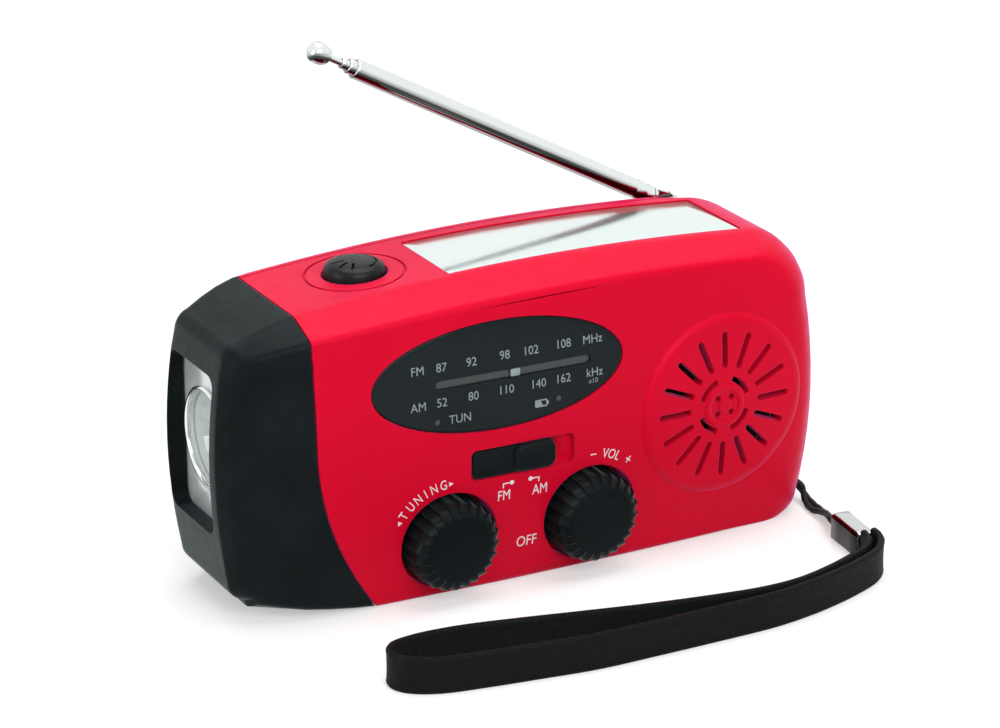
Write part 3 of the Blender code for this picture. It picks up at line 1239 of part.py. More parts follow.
# Speaker
def make_speaker():
    place = (SPEAKER_X, SPEAKER_Z)
    front = front_y(SPEAKER_X + SPEAKER_RADIUS, SPEAKER_Z + SPEAKER_RADIUS / 2) + WALL + WALL_GAP
    flange = front + SPEAKER_FLANGE
    back = front + SPEAKER_DEPTH - MAGNET_DEPTH
    inner = SPEAKER_RADIUS - SPEAKER_FLANGE
    profile = [
        (inner, front), (SPEAKER_RADIUS, front), (SPEAKER_RADIUS, flange), (inner + SPEAKER_FLANGE / 2, flange),
        (MAGNET_RADIUS, back), (MAGNET_RADIUS, back + MAGNET_DEPTH), (0, back + MAGNET_DEPTH),
    ]
    profile.reverse()
    cup = [(inner, flange), (MAGNET_RADIUS - CONE_THICKNESS, back - SPEAKER_FLANGE), (0, back - SPEAKER_FLANGE)]
    turned("speaker_frame", profile + cup, place, "Y", "steel")
    rim = front + REST_GAP
    cone = [
        (0, rim + CONE_DEPTH), (MAGNET_RADIUS / 2, rim + CONE_DEPTH), (CONE_RADIUS, rim), (inner - REST_GAP, rim),
        (inner - REST_GAP, rim + CONE_THICKNESS), (CONE_RADIUS, rim + CONE_THICKNESS),
        (MAGNET_RADIUS / 2, rim + CONE_DEPTH + CONE_THICKNESS), (0, rim + CONE_DEPTH + CONE_THICKNESS),
    ]
    turned("speaker_cone", cone, place, "Y", "paper_cone")


# Board, aerial and battery
def make_board():
    low = (BOARD_LEFT_X, BOARD_FRONT_Y, BOARD_LOW_Z)
    high = (BOARD_RIGHT_X, BOARD_REAR_Y, BOARD_HIGH_Z)
    box("circuit_board", low, high, "board_green")
    place = (ROD_Y, ROD_Z)
    rod_start = ROD_X - ROD_LENGTH / 2
    cylinder("ferrite_rod", ROD_RADIUS, place, "X", rod_start, rod_start + ROD_LENGTH, "ferrite", SMALL_STEPS)
    bore = ROD_RADIUS + SNUG_GAP
    wall = bore + COIL_WALL
    start = COIL_X - COIL_LENGTH / 2
    coil = [(bore, start), (wall, start), (wall, start + COIL_LENGTH), (bore, start + COIL_LENGTH)]
    turned("aerial_coil", coil, place, "X", "copper", SMALL_STEPS)
    outer = bore + HOLDER_WALL
    low = (ROD_X - HOLDER_LENGTH / 2, BOARD_REAR_Y + REST_GAP, ROD_Z - outer)
    high = (ROD_X + HOLDER_LENGTH / 2, ROD_Y + outer, ROD_Z + ROD_RADIUS)
    holder = box("ferrite_holder", low, high, "white_plastic")
    cut(holder, cylinder("holder_bore", bore, place, "X", rod_start, rod_start + ROD_LENGTH, None, SMALL_STEPS))


def make_battery():
    start = CELL_LEFT_X
    stop = start + CELL_LENGTH
    profile = [
        (0, start), (CELL_RADIUS, start), (CELL_RADIUS, stop - CELL_NIPPLE), (CELL_RADIUS / 3, stop - CELL_NIPPLE),
        (CELL_RADIUS / 3, stop), (0, stop),
    ]
    turned("battery_cell", profile, (CELL_Y, CELL_Z), "X", "cell_sleeve")


# Crank, gears and generator
def make_gear_train():
    stage_one_stop = STAGE_ONE_START + GEAR_THICKNESS
    stage_two_stop = STAGE_TWO_START + GEAR_THICKNESS
    gear("crank_gear", CRANK_TEETH, CRANK_AXIS, IDLER_BEARING_DEG, STAGE_ONE_START, stage_one_stop,
         "white_plastic", CRANK_SHAFT_RADIUS + SNUG_GAP)
    small_phase = IDLER_BEARING_DEG + 180 + 180 / IDLER_SMALL_TEETH
    idler = gear("idler_gear", IDLER_LARGE_TEETH, IDLER_AXIS, GENERATOR_BEARING_DEG, STAGE_TWO_START,
                 stage_two_stop, "white_plastic", AXLE_RADIUS + RUNNING_GAP)
    small = prism("idler_small", gear_outline(IDLER_SMALL_TEETH, IDLER_AXIS, small_phase), "Y",
                  stage_two_stop - GEAR_THICKNESS / 2, stage_one_stop)
    idler.modifiers.clear()
    fuse(idler, small)
    bore = AXLE_RADIUS + RUNNING_GAP
    cut(idler, cylinder("idler_through_bore", bore, IDLER_AXIS, "Y", PLATE_START, REAR_REACH, None, ROUND_STEPS))
    cylinder("idler_axle", AXLE_RADIUS, IDLER_AXIS, "Y", PLATE_START, TRAIN_REAR_Y + AXLE_SEAT - REST_GAP, "steel",
             ROUND_STEPS)
    pinion_phase = GENERATOR_BEARING_DEG + 180 + 180 / PINION_TEETH
    gear("generator_pinion", PINION_TEETH, PINION_AXIS, pinion_phase, STAGE_TWO_START, stage_two_stop,
         "brass", PINION_SHAFT_RADIUS + SNUG_GAP)
    can_stop = PLATE_START - REST_GAP
    can_start = can_stop - GENERATOR_DEPTH
    rotor_start = can_start + REST_GAP * 2
    cylinder("generator_rotor", PINION_SHAFT_RADIUS, PINION_AXIS, "Y", rotor_start, stage_two_stop - REST_GAP,
             "steel", SMALL_STEPS, (PINION_AXIS[0], 0, PINION_AXIS[1]))
    rim = GENERATOR_RADIUS - GEAR_AXIAL_GAP
    profile = [
        (0, can_start), (rim, can_start), (GENERATOR_RADIUS, can_start + GEAR_AXIAL_GAP),
        (GENERATOR_RADIUS, can_stop - GEAR_AXIAL_GAP), (rim, can_stop), (0, can_stop),
    ]
    can = turned("generator", profile, PINION_AXIS, "Y", "steel")
    rotor_bore = PINION_SHAFT_RADIUS + RUNNING_GAP
    cut(can, cylinder("rotor_bore", rotor_bore, PINION_AXIS, "Y", rotor_start - REST_GAP, can_stop + OVERRUN,
                      None, SMALL_STEPS))
    make_gear_plate()


def make_gear_plate():
    near, low, high = standoff_places()
    rim = STANDOFF_RADIUS + REST_GAP
    outline = arc(*low, rim, -120, 0, 5) + arc(*high, rim, 0, 120, 5)
    outline += [(CRANK_X, CRANK_Z + PLATE_MARGIN)] + arc(*near, rim, 90, 270, 7)
    outline += [(CRANK_X, CRANK_Z - PLATE_MARGIN)]
    plate = prism("gear_plate", outline, "Y", PLATE_START, PLATE_START + PLATE_THICKNESS, "steel")
    start = PLATE_START - OVERRUN
    stop = PLATE_START + PLATE_THICKNESS + OVERRUN
    cut(plate, cylinder("plate_crank_hole", CRANK_SHAFT_RADIUS + RUNNING_GAP, CRANK_AXIS, "Y", start, stop),
        cylinder("plate_axle_hole", AXLE_RADIUS + SNUG_GAP, IDLER_AXIS, "Y", start, stop),
        cylinder("plate_rotor_hole", PINION_SHAFT_RADIUS + REST_GAP, PINION_AXIS, "Y", start, stop))


def make_crank():
    arm_stop = ARM_FRONT_Y + ARM_THICKNESS
    origin = (CRANK_X, 0, CRANK_Z)
    cylinder("crank_shaft", CRANK_SHAFT_RADIUS, CRANK_AXIS, "Y", PLATE_START + REST_GAP, arm_stop - REST_GAP,
             "steel", ROUND_STEPS, origin)
    half = ARM_WIDTH / 2
    end_x = CRANK_X - ARM_REACH + half
    outline = arc(end_x, CRANK_Z, half, 90, 270, 9) + arc(CRANK_X, CRANK_Z, ARM_HUB_RADIUS, -70, 70, 7)
    arm = prism("crank_arm", outline, "Y", ARM_FRONT_Y, arm_stop, "black_shell", origin)
    hub_start = rear_y(CRANK_X, CRANK_Z) + REST_GAP * 2
    fuse(arm, cylinder("arm_hub", ARM_HUB_RADIUS - REST_GAP, CRANK_AXIS, "Y", hub_start, arm_stop - WALL / 2))
    bore = CRANK_SHAFT_RADIUS + SNUG_GAP
    cut(arm, cylinder("arm_bore", bore, CRANK_AXIS, "Y", hub_start - OVERRUN, arm_stop - REST_GAP / 2))
    pivot_x = CRANK_X - GRIP_PIVOT_REACH
    window_left = pivot_x - KNUCKLE_RADIUS - REST_GAP
    window_right = pivot_x + KNUCKLE_RADIUS + GRIP_LENGTH + 3 * REST_GAP + WALL
    width = window_right - window_left
    window = rounded_box(window_left + width / 2, CRANK_Z, width, GRIP_WINDOW_WIDTH, REST_GAP * 2, 2)
    cut(arm, prism("grip_window", window, "Y", ARM_FRONT_Y - OVERRUN, arm_stop + OVERRUN))
    pivot_y = grip_axis_y()
    hole = TRUNNION_RADIUS + RUNNING_GAP
    cheek = GRIP_WINDOW_WIDTH / 2 + WALL / 2
    cut(arm, cylinder("trunnion_hole", hole, (pivot_x, pivot_y), "Z", CRANK_Z - cheek - REST_GAP,
                      CRANK_Z + cheek + REST_GAP, None, SMALL_STEPS))
    pivot = (pivot_x, pivot_y, CRANK_Z)
    knuckle = GRIP_WINDOW_WIDTH / 2 - REST_GAP
    rod_stop = pivot_x + KNUCKLE_RADIUS + REST_GAP + GRIP_LENGTH + REST_GAP
    spindle = cylinder("grip_spindle", KNUCKLE_RADIUS, (pivot_x, pivot_y), "Z", CRANK_Z - knuckle,
                       CRANK_Z + knuckle, "steel", SMALL_STEPS, pivot)
    head_radius = GRIP_BORE_RADIUS + WALL / 3
    rod = [(0, pivot_x), (SPINDLE_RADIUS, pivot_x), (SPINDLE_RADIUS, rod_stop), (head_radius, rod_stop)]
    rod += [(head_radius, rod_stop + WALL / 2), (0, rod_stop + WALL / 2)]
    fuse(spindle, cylinder("trunnion", TRUNNION_RADIUS, (pivot_x, pivot_y), "Z", CRANK_Z - cheek, CRANK_Z + cheek,
                           None, SMALL_STEPS), turned("grip_rod", rod, (pivot_y, CRANK_Z), "X", None, SMALL_STEPS))
    start = pivot_x + KNUCKLE_RADIUS + REST_GAP
    stop = start + GRIP_LENGTH
    inset = GRIP_RADIUS / 5
    profile = [
        (GRIP_BORE_RADIUS, start), (GRIP_RADIUS - inset, start), (GRIP_RADIUS, start + inset),
        (GRIP_RADIUS - inset / 2, (start + stop) / 2), (GRIP_RADIUS, stop - inset),
        (GRIP_RADIUS - inset, stop), (GRIP_BORE_RADIUS, stop),
    ]
    turned("crank_grip", profile, (pivot_y, CRANK_Z), "X", "black_shell", ROUND_STEPS, pivot)


def grip_axis_y():
    return ARM_FRONT_Y + ARM_THICKNESS / 2 + REST_GAP


# Antenna
def make_antenna():
    base_low = CHANNEL_FLOOR_Z + REST_GAP
    post_low = ANTENNA_Z - CLEVIS_RADIUS - POST_DEPTH
    top = ANTENNA_Z + CLEVIS_PIN_RADIUS + CLEVIS_CAP
    place = (ANTENNA_X, ANTENNA_Y)
    profile = [(0, post_low), (POST_RADIUS, post_low), (POST_RADIUS, base_low), (CLEVIS_RADIUS, base_low)]
    profile += [(CLEVIS_RADIUS, top - REST_GAP), (CLEVIS_RADIUS - REST_GAP, top), (0, top)]
    base = turned("antenna_base", profile, place, "Z", "chrome", ROUND_STEPS, (ANTENNA_X, ANTENNA_Y, ANTENNA_Z))
    slot_low = (ANTENNA_X - 2 * CLEVIS_RADIUS, ANTENNA_Y - CLEVIS_SLOT / 2, ANTENNA_Z - tongue_radius() - REST_GAP)
    slot_high = (ANTENNA_X + 2 * CLEVIS_RADIUS, ANTENNA_Y + CLEVIS_SLOT / 2, top + OVERRUN)
    pin_centre = (ANTENNA_X, ANTENNA_Z)
    pin_start = ANTENNA_Y - CLEVIS_RADIUS
    pin_stop = ANTENNA_Y + CLEVIS_RADIUS
    hole = CLEVIS_PIN_RADIUS + SNUG_GAP
    cut(base, box("clevis_slot", slot_low, slot_high),
        cylinder("clevis_pin_hole", hole, pin_centre, "Y", pin_start - OVERRUN, pin_stop + OVERRUN, None, TUBE_STEPS))
    cylinder("antenna_pin", CLEVIS_PIN_RADIUS, pin_centre, "Y", pin_start + SNUG_GAP, pin_stop - SNUG_GAP,
             "steel", TUBE_STEPS, (ANTENNA_X, ANTENNA_Y, ANTENNA_Z))

    tilt = bpy.data.objects.new("antenna_tilt_frame", None)
    tilt.location = (ANTENNA_X, ANTENNA_Y, ANTENNA_Z)
    tilt.rotation_euler = (0, math.radians(180 + ANTENNA_TILT_DEG), 0)
    bpy.context.scene.collection.objects.link(tilt)
    bpy.context.view_layer.update()

    shank = TUBE_START + TUBE_STEP
    root_radius = TUBE_RADIUS - TUBE_WALL - SNUG_GAP
    tongue = arc(0, 0, tongue_radius(), 90, 270, 9)
    plug_start = TUBE_START - PLUG_REACH
    reach = tongue_radius() * 0.8
    tongue += [(plug_start + REST_GAP, -reach), (plug_start + REST_GAP, reach)]
    root = prism("antenna_root", tongue, "Y", -TONGUE_THICKNESS / 2, TONGUE_THICKNESS / 2, "chrome", (0, 0, 0), tilt)
    collar_radius = TUBE_RADIUS - SNUG_GAP
    plug = [
        (0, plug_start), (collar_radius, plug_start),
        (collar_radius, TUBE_START - REST_GAP), (root_radius, TUBE_START - REST_GAP),
        (root_radius, shank), (0, shank),
    ]
    fuse(root, turned("antenna_plug", plug, (0, 0), "X", None, TUBE_STEPS, (0, 0, 0), tilt))
    pin_bore = CLEVIS_PIN_RADIUS + RUNNING_GAP
    cut(root, cylinder("root_pin_hole", pin_bore, (0, 0), "Y", -CLEVIS_RADIUS, CLEVIS_RADIUS, None, TUBE_STEPS,
                       (0, 0, 0), tilt))
    radius = TUBE_RADIUS
    start = TUBE_START
    stop = TUBE_END
    for i in range(3):
        inner = radius - TUBE_WALL
        lip = REST_GAP
        profile = [(inner, start), (radius, start), (radius, stop - lip), (radius - lip / 2, stop), (inner, stop)]
        turned(f"antenna_tube_{i + 1}", profile, (0, 0), "X", "chrome", TUBE_STEPS, (0, 0, 0), tilt)
        radius = inner - RUNNING_GAP - REST_GAP / 10
        start = start + 2 * TUBE_STEP if i else shank + REST_GAP
        stop = stop + TUBE_STEP
    rod = [(0, start), (radius, start), (radius, TIP_REACH - TIP_RADIUS * 1.1)]
    rod += [(TIP_RADIUS * 0.7, TIP_REACH - TIP_RADIUS), (TIP_RADIUS, TIP_REACH - TIP_RADIUS * 0.35)]
    rod += [(TIP_RADIUS, TIP_REACH + TIP_RADIUS * 0.35), (TIP_RADIUS * 0.6, TIP_REACH + TIP_RADIUS * 0.9)]
    rod += [(0, TIP_REACH + TIP_RADIUS)]
    turned("antenna_rod", rod, (0, 0), "X", "chrome", TUBE_STEPS, (0, 0, 0), tilt)


def tongue_radius():
    return CLEVIS_RADIUS - REST_GAP * 2


# Screws and charging socket
def make_screws():
    for name, x, z in SCREWS:
        head = screw_head_y(x, z)
        seat = head - SCREW_HEAD_HEIGHT
        tip = screw_tip(x, z)
        profile = [
            (0, tip), (SCREW_SHANK_RADIUS / 2, tip), (SCREW_SHANK_RADIUS, tip + SCREW_SHANK_RADIUS),
            (SCREW_SHANK_RADIUS, seat), (SCREW_HEAD_RADIUS, seat), (SCREW_HEAD_RADIUS, head - SCREW_HEAD_HEIGHT / 3),
            (SCREW_HEAD_RADIUS * 0.8, head), (0, head),
        ]
        screw = turned(f"cover_screw_{name}", profile, (x, z), "Y", "steel", SMALL_STEPS)
        arm = SCREW_HEAD_RADIUS * 0.6
        blade = SCREW_HEAD_RADIUS * 0.16
        depth = head - SCREW_HEAD_HEIGHT / 2
        wide = box(f"recess_wide_{name}", (x - arm, depth, z - blade), (x + arm, head + OVERRUN, z + blade))
        tall = box(f"recess_tall_{name}", (x - blade, depth, z - arm), (x + blade, head + OVERRUN, z + arm))
        cut(screw, wide, tall)


def make_socket():
    wall = rear_y(SOCKET_X + SOCKET_WIDTH / 2, SOCKET_Z + SOCKET_HEIGHT / 2) - WALL - REST_GAP
    low = (SOCKET_X - SOCKET_WIDTH / 2, wall - SOCKET_DEPTH, SOCKET_Z - SOCKET_HEIGHT / 2)
    high = (SOCKET_X + SOCKET_WIDTH / 2, wall, SOCKET_Z + SOCKET_HEIGHT / 2)
    socket = box("charging_socket", low, high, "steel")
    inner_width = SOCKET_MOUTH_WIDTH / 2 - REST_GAP
    inner_height = SOCKET_MOUTH_HEIGHT / 2 - REST_GAP
    cut(socket, box("socket_mouth", (SOCKET_X - inner_width, wall - SOCKET_DEPTH + WALL / 2, SOCKET_Z - inner_height),
                    (SOCKET_X + inner_width, wall + OVERRUN, SOCKET_Z + inner_height)))
    seat = flap_seat_y() + REST_GAP
    hinge_z = SOCKET_Z - FLAP_HEIGHT / 2 + FLAP_HINGE_RADIUS
    hinge_y = seat + FLAP_HINGE_RADIUS
    low = (SOCKET_X - FLAP_WIDTH / 2, seat, hinge_z)
    high = (SOCKET_X + FLAP_WIDTH / 2, seat + FLAP_THICKNESS - REST_GAP, SOCKET_Z + FLAP_HEIGHT / 2)
    flap = box("socket_flap", low, high, "black_rubber", (SOCKET_X, hinge_y, hinge_z))
    fuse(flap, cylinder("flap_hinge", FLAP_HINGE_RADIUS, (hinge_y, hinge_z), "X", SOCKET_X - FLAP_WIDTH / 2,
                        SOCKET_X + FLAP_WIDTH / 2, None, SMALL_STEPS))


# Wrist strap
def from_bar(point):
    """A place given in mm from the foot of the strap bar, in two or three directions."""
    return Vector([foot + value * MM for foot, value in zip((STRAP_BAR_X, STRAP_BAR_Y, 0), point)])


def smooth_route(points, steps):
    """A smooth curve through hand-chosen points round the bar, with steps pieces between each two of them."""
    route = []
    last = len(points) - 1
    for i in range(last):
        before = points[max(i - 1, 0)]
        start = points[i]
        stop = points[i + 1]
        after = points[min(i + 2, last)]
        for j in range(steps):
            t = j / steps
            blend = []
            for a, b, c, d in zip(before, start, stop, after):
                value = 2 * b + (c - a) * t + (2 * a - 5 * b + 4 * c - d) * t ** 2
                value += (3 * b - a - 3 * c + d) * t ** 3
                blend.append(value / 2)
            route.append(from_bar(blend))
    route.append(from_bar(points[last]))
    return route


def make_strap():
    bar_low = STRAP_POCKET_LOW_Z - STRAP_BAR_SEAT + SNUG_GAP
    bar_high = STRAP_POCKET_HIGH_Z + STRAP_BAR_SEAT - SNUG_GAP
    cylinder("strap_bar", STRAP_BAR_RADIUS, (STRAP_BAR_X, STRAP_BAR_Y), "Z", bar_low, bar_high, "steel", SMALL_STEPS)
    route = smooth_route(CORD_POINTS, CORD_STEPS)
    curve = bpy.data.curves.new("strap_cord", "CURVE")
    curve.dimensions = "3D"
    curve.bevel_depth = STRAP_CORD_RADIUS
    curve.bevel_resolution = 2
    curve.use_fill_caps = True
    spline = curve.splines.new("POLY")
    spline.points.add(len(route) - 1)
    for point, place in zip(spline.points, route):
        point.co = (*place, 1.0)
    curve.materials.append(material("strap_black"))
    cord = bpy.data.objects.new("strap_cord", curve)
    bpy.context.scene.collection.objects.link(cord)

    first = from_bar(BAND_POINTS[0])
    last = from_bar(BAND_POINTS[-1])
    front_end = (route[0] + route[-1]) / 2
    rear_end = (first + last) / 2
    direction = Vector((rear_end.x - front_end.x, rear_end.y - front_end.y)).normalized()
    side = Vector((direction.y, -direction.x))
    start = Vector((front_end.x, front_end.y)) + direction * REST_GAP
    stop = start + direction * STRAP_CLIP_LENGTH
    half = STRAP_CLIP_THICKNESS / 2
    outline = [start - side * half, start + side * half, stop + side * half, stop - side * half]
    clip = prism("strap_clip", outline, "Z", REST_GAP, REST_GAP + STRAP_CLIP_HEIGHT, "crimp_metal")
    edge = clip.modifiers.new("edges", "BEVEL")
    edge.width = STRAP_CLIP_THICKNESS / 8
    edge.segments = 1

    path = smooth_route(BAND_POINTS, BAND_STEPS)
    bm = bmesh.new()
    rows = []
    for i, place in enumerate(path):
        ahead = path[min(i + 1, len(path) - 1)]
        behind = path[max(i - 1, 0)]
        along = (ahead - behind).normalized()
        across = Vector((along.y, -along.x)) * BAND_THICKNESS / 2
        corners = []
        for offset, z in ((across, 0), (across, BAND_WIDTH), (-across, BAND_WIDTH), (-across, 0)):
            spot = place + offset
            corners.append(bm.verts.new((spot.x, spot.y, z)))
        rows.append(corners)
    for first_row, second_row in zip(rows, rows[1:]):
        bridge(bm, first_row, second_row)
    bm.faces.new(rows[0])
    bm.faces.new(rows[-1])
    to_object(bm, "strap_band", "strap_black")


def main():
    clear_scene()
    space = cavity()
    make_front_shell(space)
    make_rear_cover(space)
    make_torch_head(space)
    make_torch()
    make_torch_button()
    make_solar_panel()
    make_dial()
    make_tuning_drive()
    make_volume_drive()
    make_knob("tuning_knob", TUNING_X)
    make_knob("volume_knob", VOLUME_X)
    make_band_switch()
    make_speaker()
    make_board()
    make_battery()
    make_gear_train()
    make_crank()
    make_antenna()
    make_screws()
    make_socket()
    make_strap()


main()
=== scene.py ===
"""Visual model of a portable crank and solar radio with a torch head, an antenna and a wrist strap."""

import math

import bmesh
import bpy
from mathutils import Matrix, Vector


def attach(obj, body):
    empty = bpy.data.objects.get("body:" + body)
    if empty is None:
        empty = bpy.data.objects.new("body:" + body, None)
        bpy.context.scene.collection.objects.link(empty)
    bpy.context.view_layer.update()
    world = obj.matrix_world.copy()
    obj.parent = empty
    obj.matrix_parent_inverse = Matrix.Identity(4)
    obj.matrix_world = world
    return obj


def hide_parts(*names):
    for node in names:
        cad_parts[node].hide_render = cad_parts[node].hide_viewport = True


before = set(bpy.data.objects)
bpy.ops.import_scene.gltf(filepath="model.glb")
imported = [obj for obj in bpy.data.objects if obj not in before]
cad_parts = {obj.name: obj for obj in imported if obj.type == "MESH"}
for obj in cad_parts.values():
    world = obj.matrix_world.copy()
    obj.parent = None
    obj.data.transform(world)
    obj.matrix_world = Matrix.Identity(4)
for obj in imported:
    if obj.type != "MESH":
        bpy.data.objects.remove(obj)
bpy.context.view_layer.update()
MM = 0.001

# Camera, from the photograph's perspective
CAMERA_PLACE = (-0.29887, -0.55627, 0.27743)
CAMERA_AZIMUTH_DEG = 28.348
CAMERA_ELEVATION_DEG = 20.923
CAMERA_ROLL_DEG = -0.115
CAMERA_LENS_MM = 127.81
SENSOR_MM = 36.0

# Case form, in metres
LEFT_REACH = 63.6 * MM
RIGHT_REACH = 62.8 * MM
HEIGHT = 60.3 * MM
FRONT_REACH = 22.5 * MM
REAR_REACH = 20.0 * MM
WALL = 2.0 * MM
CREST_X = 6.6 * MM
WAIST_Z = 30.0 * MM
TOP_BOW_RADIUS = 493.0 * MM
PLAN_BOW_RADIUS = 759.0 * MM
FACE_BOW_RADIUS = 146.0 * MM
LEFT_END_RADIUS = 120.0 * MM
RIGHT_END_BULGE = 1.7 * MM
TOP_RIGHT_RADIUS = 12.7 * MM
LOW_RIGHT_RADIUS = 4.3 * MM
TOP_LEFT_RADIUS = 3.0 * MM
LOW_LEFT_RADIUS = 3.6 * MM
FRONT_BELT = 11.5 * MM
REAR_BELT = 14.0 * MM
BELT_MARGIN = 1.6 * MM
END_BELT = 9.9 * MM
SHOULDER_DROP = 2.8 * MM
RIGHT_ROUNDING = 7.0 * MM
LEFT_ROUNDING = 2.2 * MM
HEAD_TAPER = 5.6 * MM
HEAD_DROP = 3.2 * MM
HEAD_LIFT = 4.2 * MM
HEAD_FOOT_LIFT = 3.0 * MM
ROUNDING_LENGTH = 22.0 * MM
CREASE = 1.1 * MM
PARTING_Y = 12.2 * MM
SEAM_GAP = 0.3 * MM
SEAM_TOP_X = 47.1 * MM
SEAM_FOOT_X = 34.4 * MM
SEAM_BEND_Z = 34.0 * MM
FAR = 130.0 * MM
OVERRUN = 4.0 * MM
TOP_SPANS = 32
BEVEL_LIMIT_DEG = 40

# Shares at which the case's rings lie, finer for what is seen than for its hollow
FINE_STEPS = (0.0, 0.2, 0.4, 0.6, 0.8, 1.0)
FINE_SHARES = (0.955, 0.88, 0.76, 0.6, 0.42, 0.22)
HOLLOW_STEPS = (0.0, 0.6, 1.0)
HOLLOW_SHARES = (0.76, 0.38)

# Boxes cut from the case or kept round such a cut, from corner to corner
CHANNEL = ((-40.5 * MM, 14.25 * MM, 53.95 * MM), (51.0 * MM, FAR, FAR))
CHANNEL_WALL = ((-42.5 * MM, 12.55 * MM, 51.95 * MM), (53.0 * MM, FAR, FAR))
POCKET = ((56.8 * MM, -12.6 * MM, 3.4 * MM), (FAR, -3.6 * MM, 8.6 * MM))
POCKET_WALL = ((54.8 * MM, -14.6 * MM, 0), (RIGHT_REACH, -1.6 * MM, 10.6 * MM))

# Places and sizes of what the case carries
DIAL = (-10.4 * MM, 43.0 * MM)
DIAL_HALF_LENGTH = 25.9 * MM
DIAL_HALF_HEIGHT = 10.4 * MM
DIAL_FIT = 0.12 * MM
DIAL_RIM = 0.55 * MM
DIAL_ROWS = ((0, 1.9), (0.5, 1.9), (1, 1.9), (1, 0.28), (0.994, 0.12), (0.982, 0.04))
SLOT_X = -7.45 * MM
SLOT_LENGTH = 32.1 * MM
SLOT_HEIGHT = 1.7 * MM
SLOT_DEPTH = 2.35 * MM
TRACK_FIT = 0.03 * MM
TRACK_BACK = 1.5 * MM
TRACK_FACE = 0.55 * MM
POINTER_X = -7.2 * MM
POINTER_WIDTH = 2.0 * MM
POINTER_HEIGHT = 1.5 * MM
POINTER_THICKNESS = 0.3 * MM
POINTER_SINK = 0.12 * MM
TUNING = (-20.6 * MM, 11.7 * MM)
VOLUME = (8.95 * MM, 11.7 * MM)
WELL_RADIUS = 9.75 * MM
WELL_FLOOR_Y = -16.0 * MM
WELL_WALL = 1.4 * MM
WELL_BEVEL = 0.6 * MM
WELL_HOLE = 2.8 * MM
WELLS = (("tuning", TUNING), ("volume", VOLUME))
KNOB_RADIUS = 9.0 * MM
KNOB_PROUD = 4.9 * MM
SPEAKER = (37.7 * MM, 28.4 * MM)
GRILLE_RADIUS = 18.2 * MM
GRILLE_RISE = 0.8 * MM
BAND_LEFT_X = -16.6 * MM
BAND_LENGTH = 21.6 * MM
BAND_Z = 26.1 * MM
BAND_HEIGHT = 6.0 * MM
BAND_CORNER = 1.2 * MM
BAND_RECESS = 1.3 * MM
SLIDER_LENGTH = 17.2 * MM
STEM_WIDTH = 2.0 * MM
STEM_TRAVEL = 4.4 * MM
STEM_OFFSET = 1.9 * MM
STEM_DEPTH = 4.3 * MM
PAD_LENGTH = 8.8 * MM
PAD_ROWS = (
    (1.0, 0.35), (0.99, 0.0), (0.975, -0.35), (0.94, -0.65), (0.88, -0.86), (0.76, -0.97), (0.4, -1.0),
)
BUTTON = (-28.8 * MM, 1.0 * MM)
BUTTON_RADIUS = 5.9 * MM
BUTTON_RISE = 2.5 * MM
BUTTON_GAP = 0.35 * MM
BUTTON_FLOOR_Z = 50.0 * MM
GROOVE_RINGS = ((9.1 * MM, 1 * MM), (9.1 * MM, -0.5 * MM), (9.65 * MM, -0.5 * MM), (9.65 * MM, 1 * MM))
PANEL_LEFT_X = -14.6 * MM
PANEL_RIGHT_X = 48.2 * MM
PANEL_HALF_WIDTH = 9.6 * MM
PANEL_SINK = 0.2 * MM
PANEL_THICKNESS = 1.5 * MM
PANEL_BED = 1.9 * MM
WINDOW = (0.2 * MM, 32.0 * MM)
WINDOW_WIDTH = 19.4 * MM
WINDOW_HEIGHT = 30.8 * MM
WINDOW_CORNER = 2.6 * MM
WINDOW_WALL = 3.0 * MM
LENS_FRONT_X = -59.6 * MM
LENS_RADIUS = 9.0 * MM
ANTENNA = (47.5 * MM, 17.1 * MM, 56.2 * MM)
ANTENNA_TILT_DEG = 28.3
POST_BORE = 2.06 * MM
POST_REACH = (48.8 * MM, 56.0 * MM)
CRANK = (0.0, 31.0 * MM)
ARM_FRONT_Y = 21.6 * MM
ARM_THICKNESS = 4.4 * MM
SOCKET = (48.4 * MM, 38.0 * MM)
SOCKET_HALF = (3.2 * MM, 1.4 * MM)
BACK_START = 10.0 * MM
SCREWS = (
    ("low_left", -37.6 * MM, 14.0 * MM), ("high_left", -40.0 * MM, 48.2 * MM),
    ("low_right", 53.5 * MM, 9.0 * MM), ("high_right", 53.5 * MM, 48.2 * MM),
)

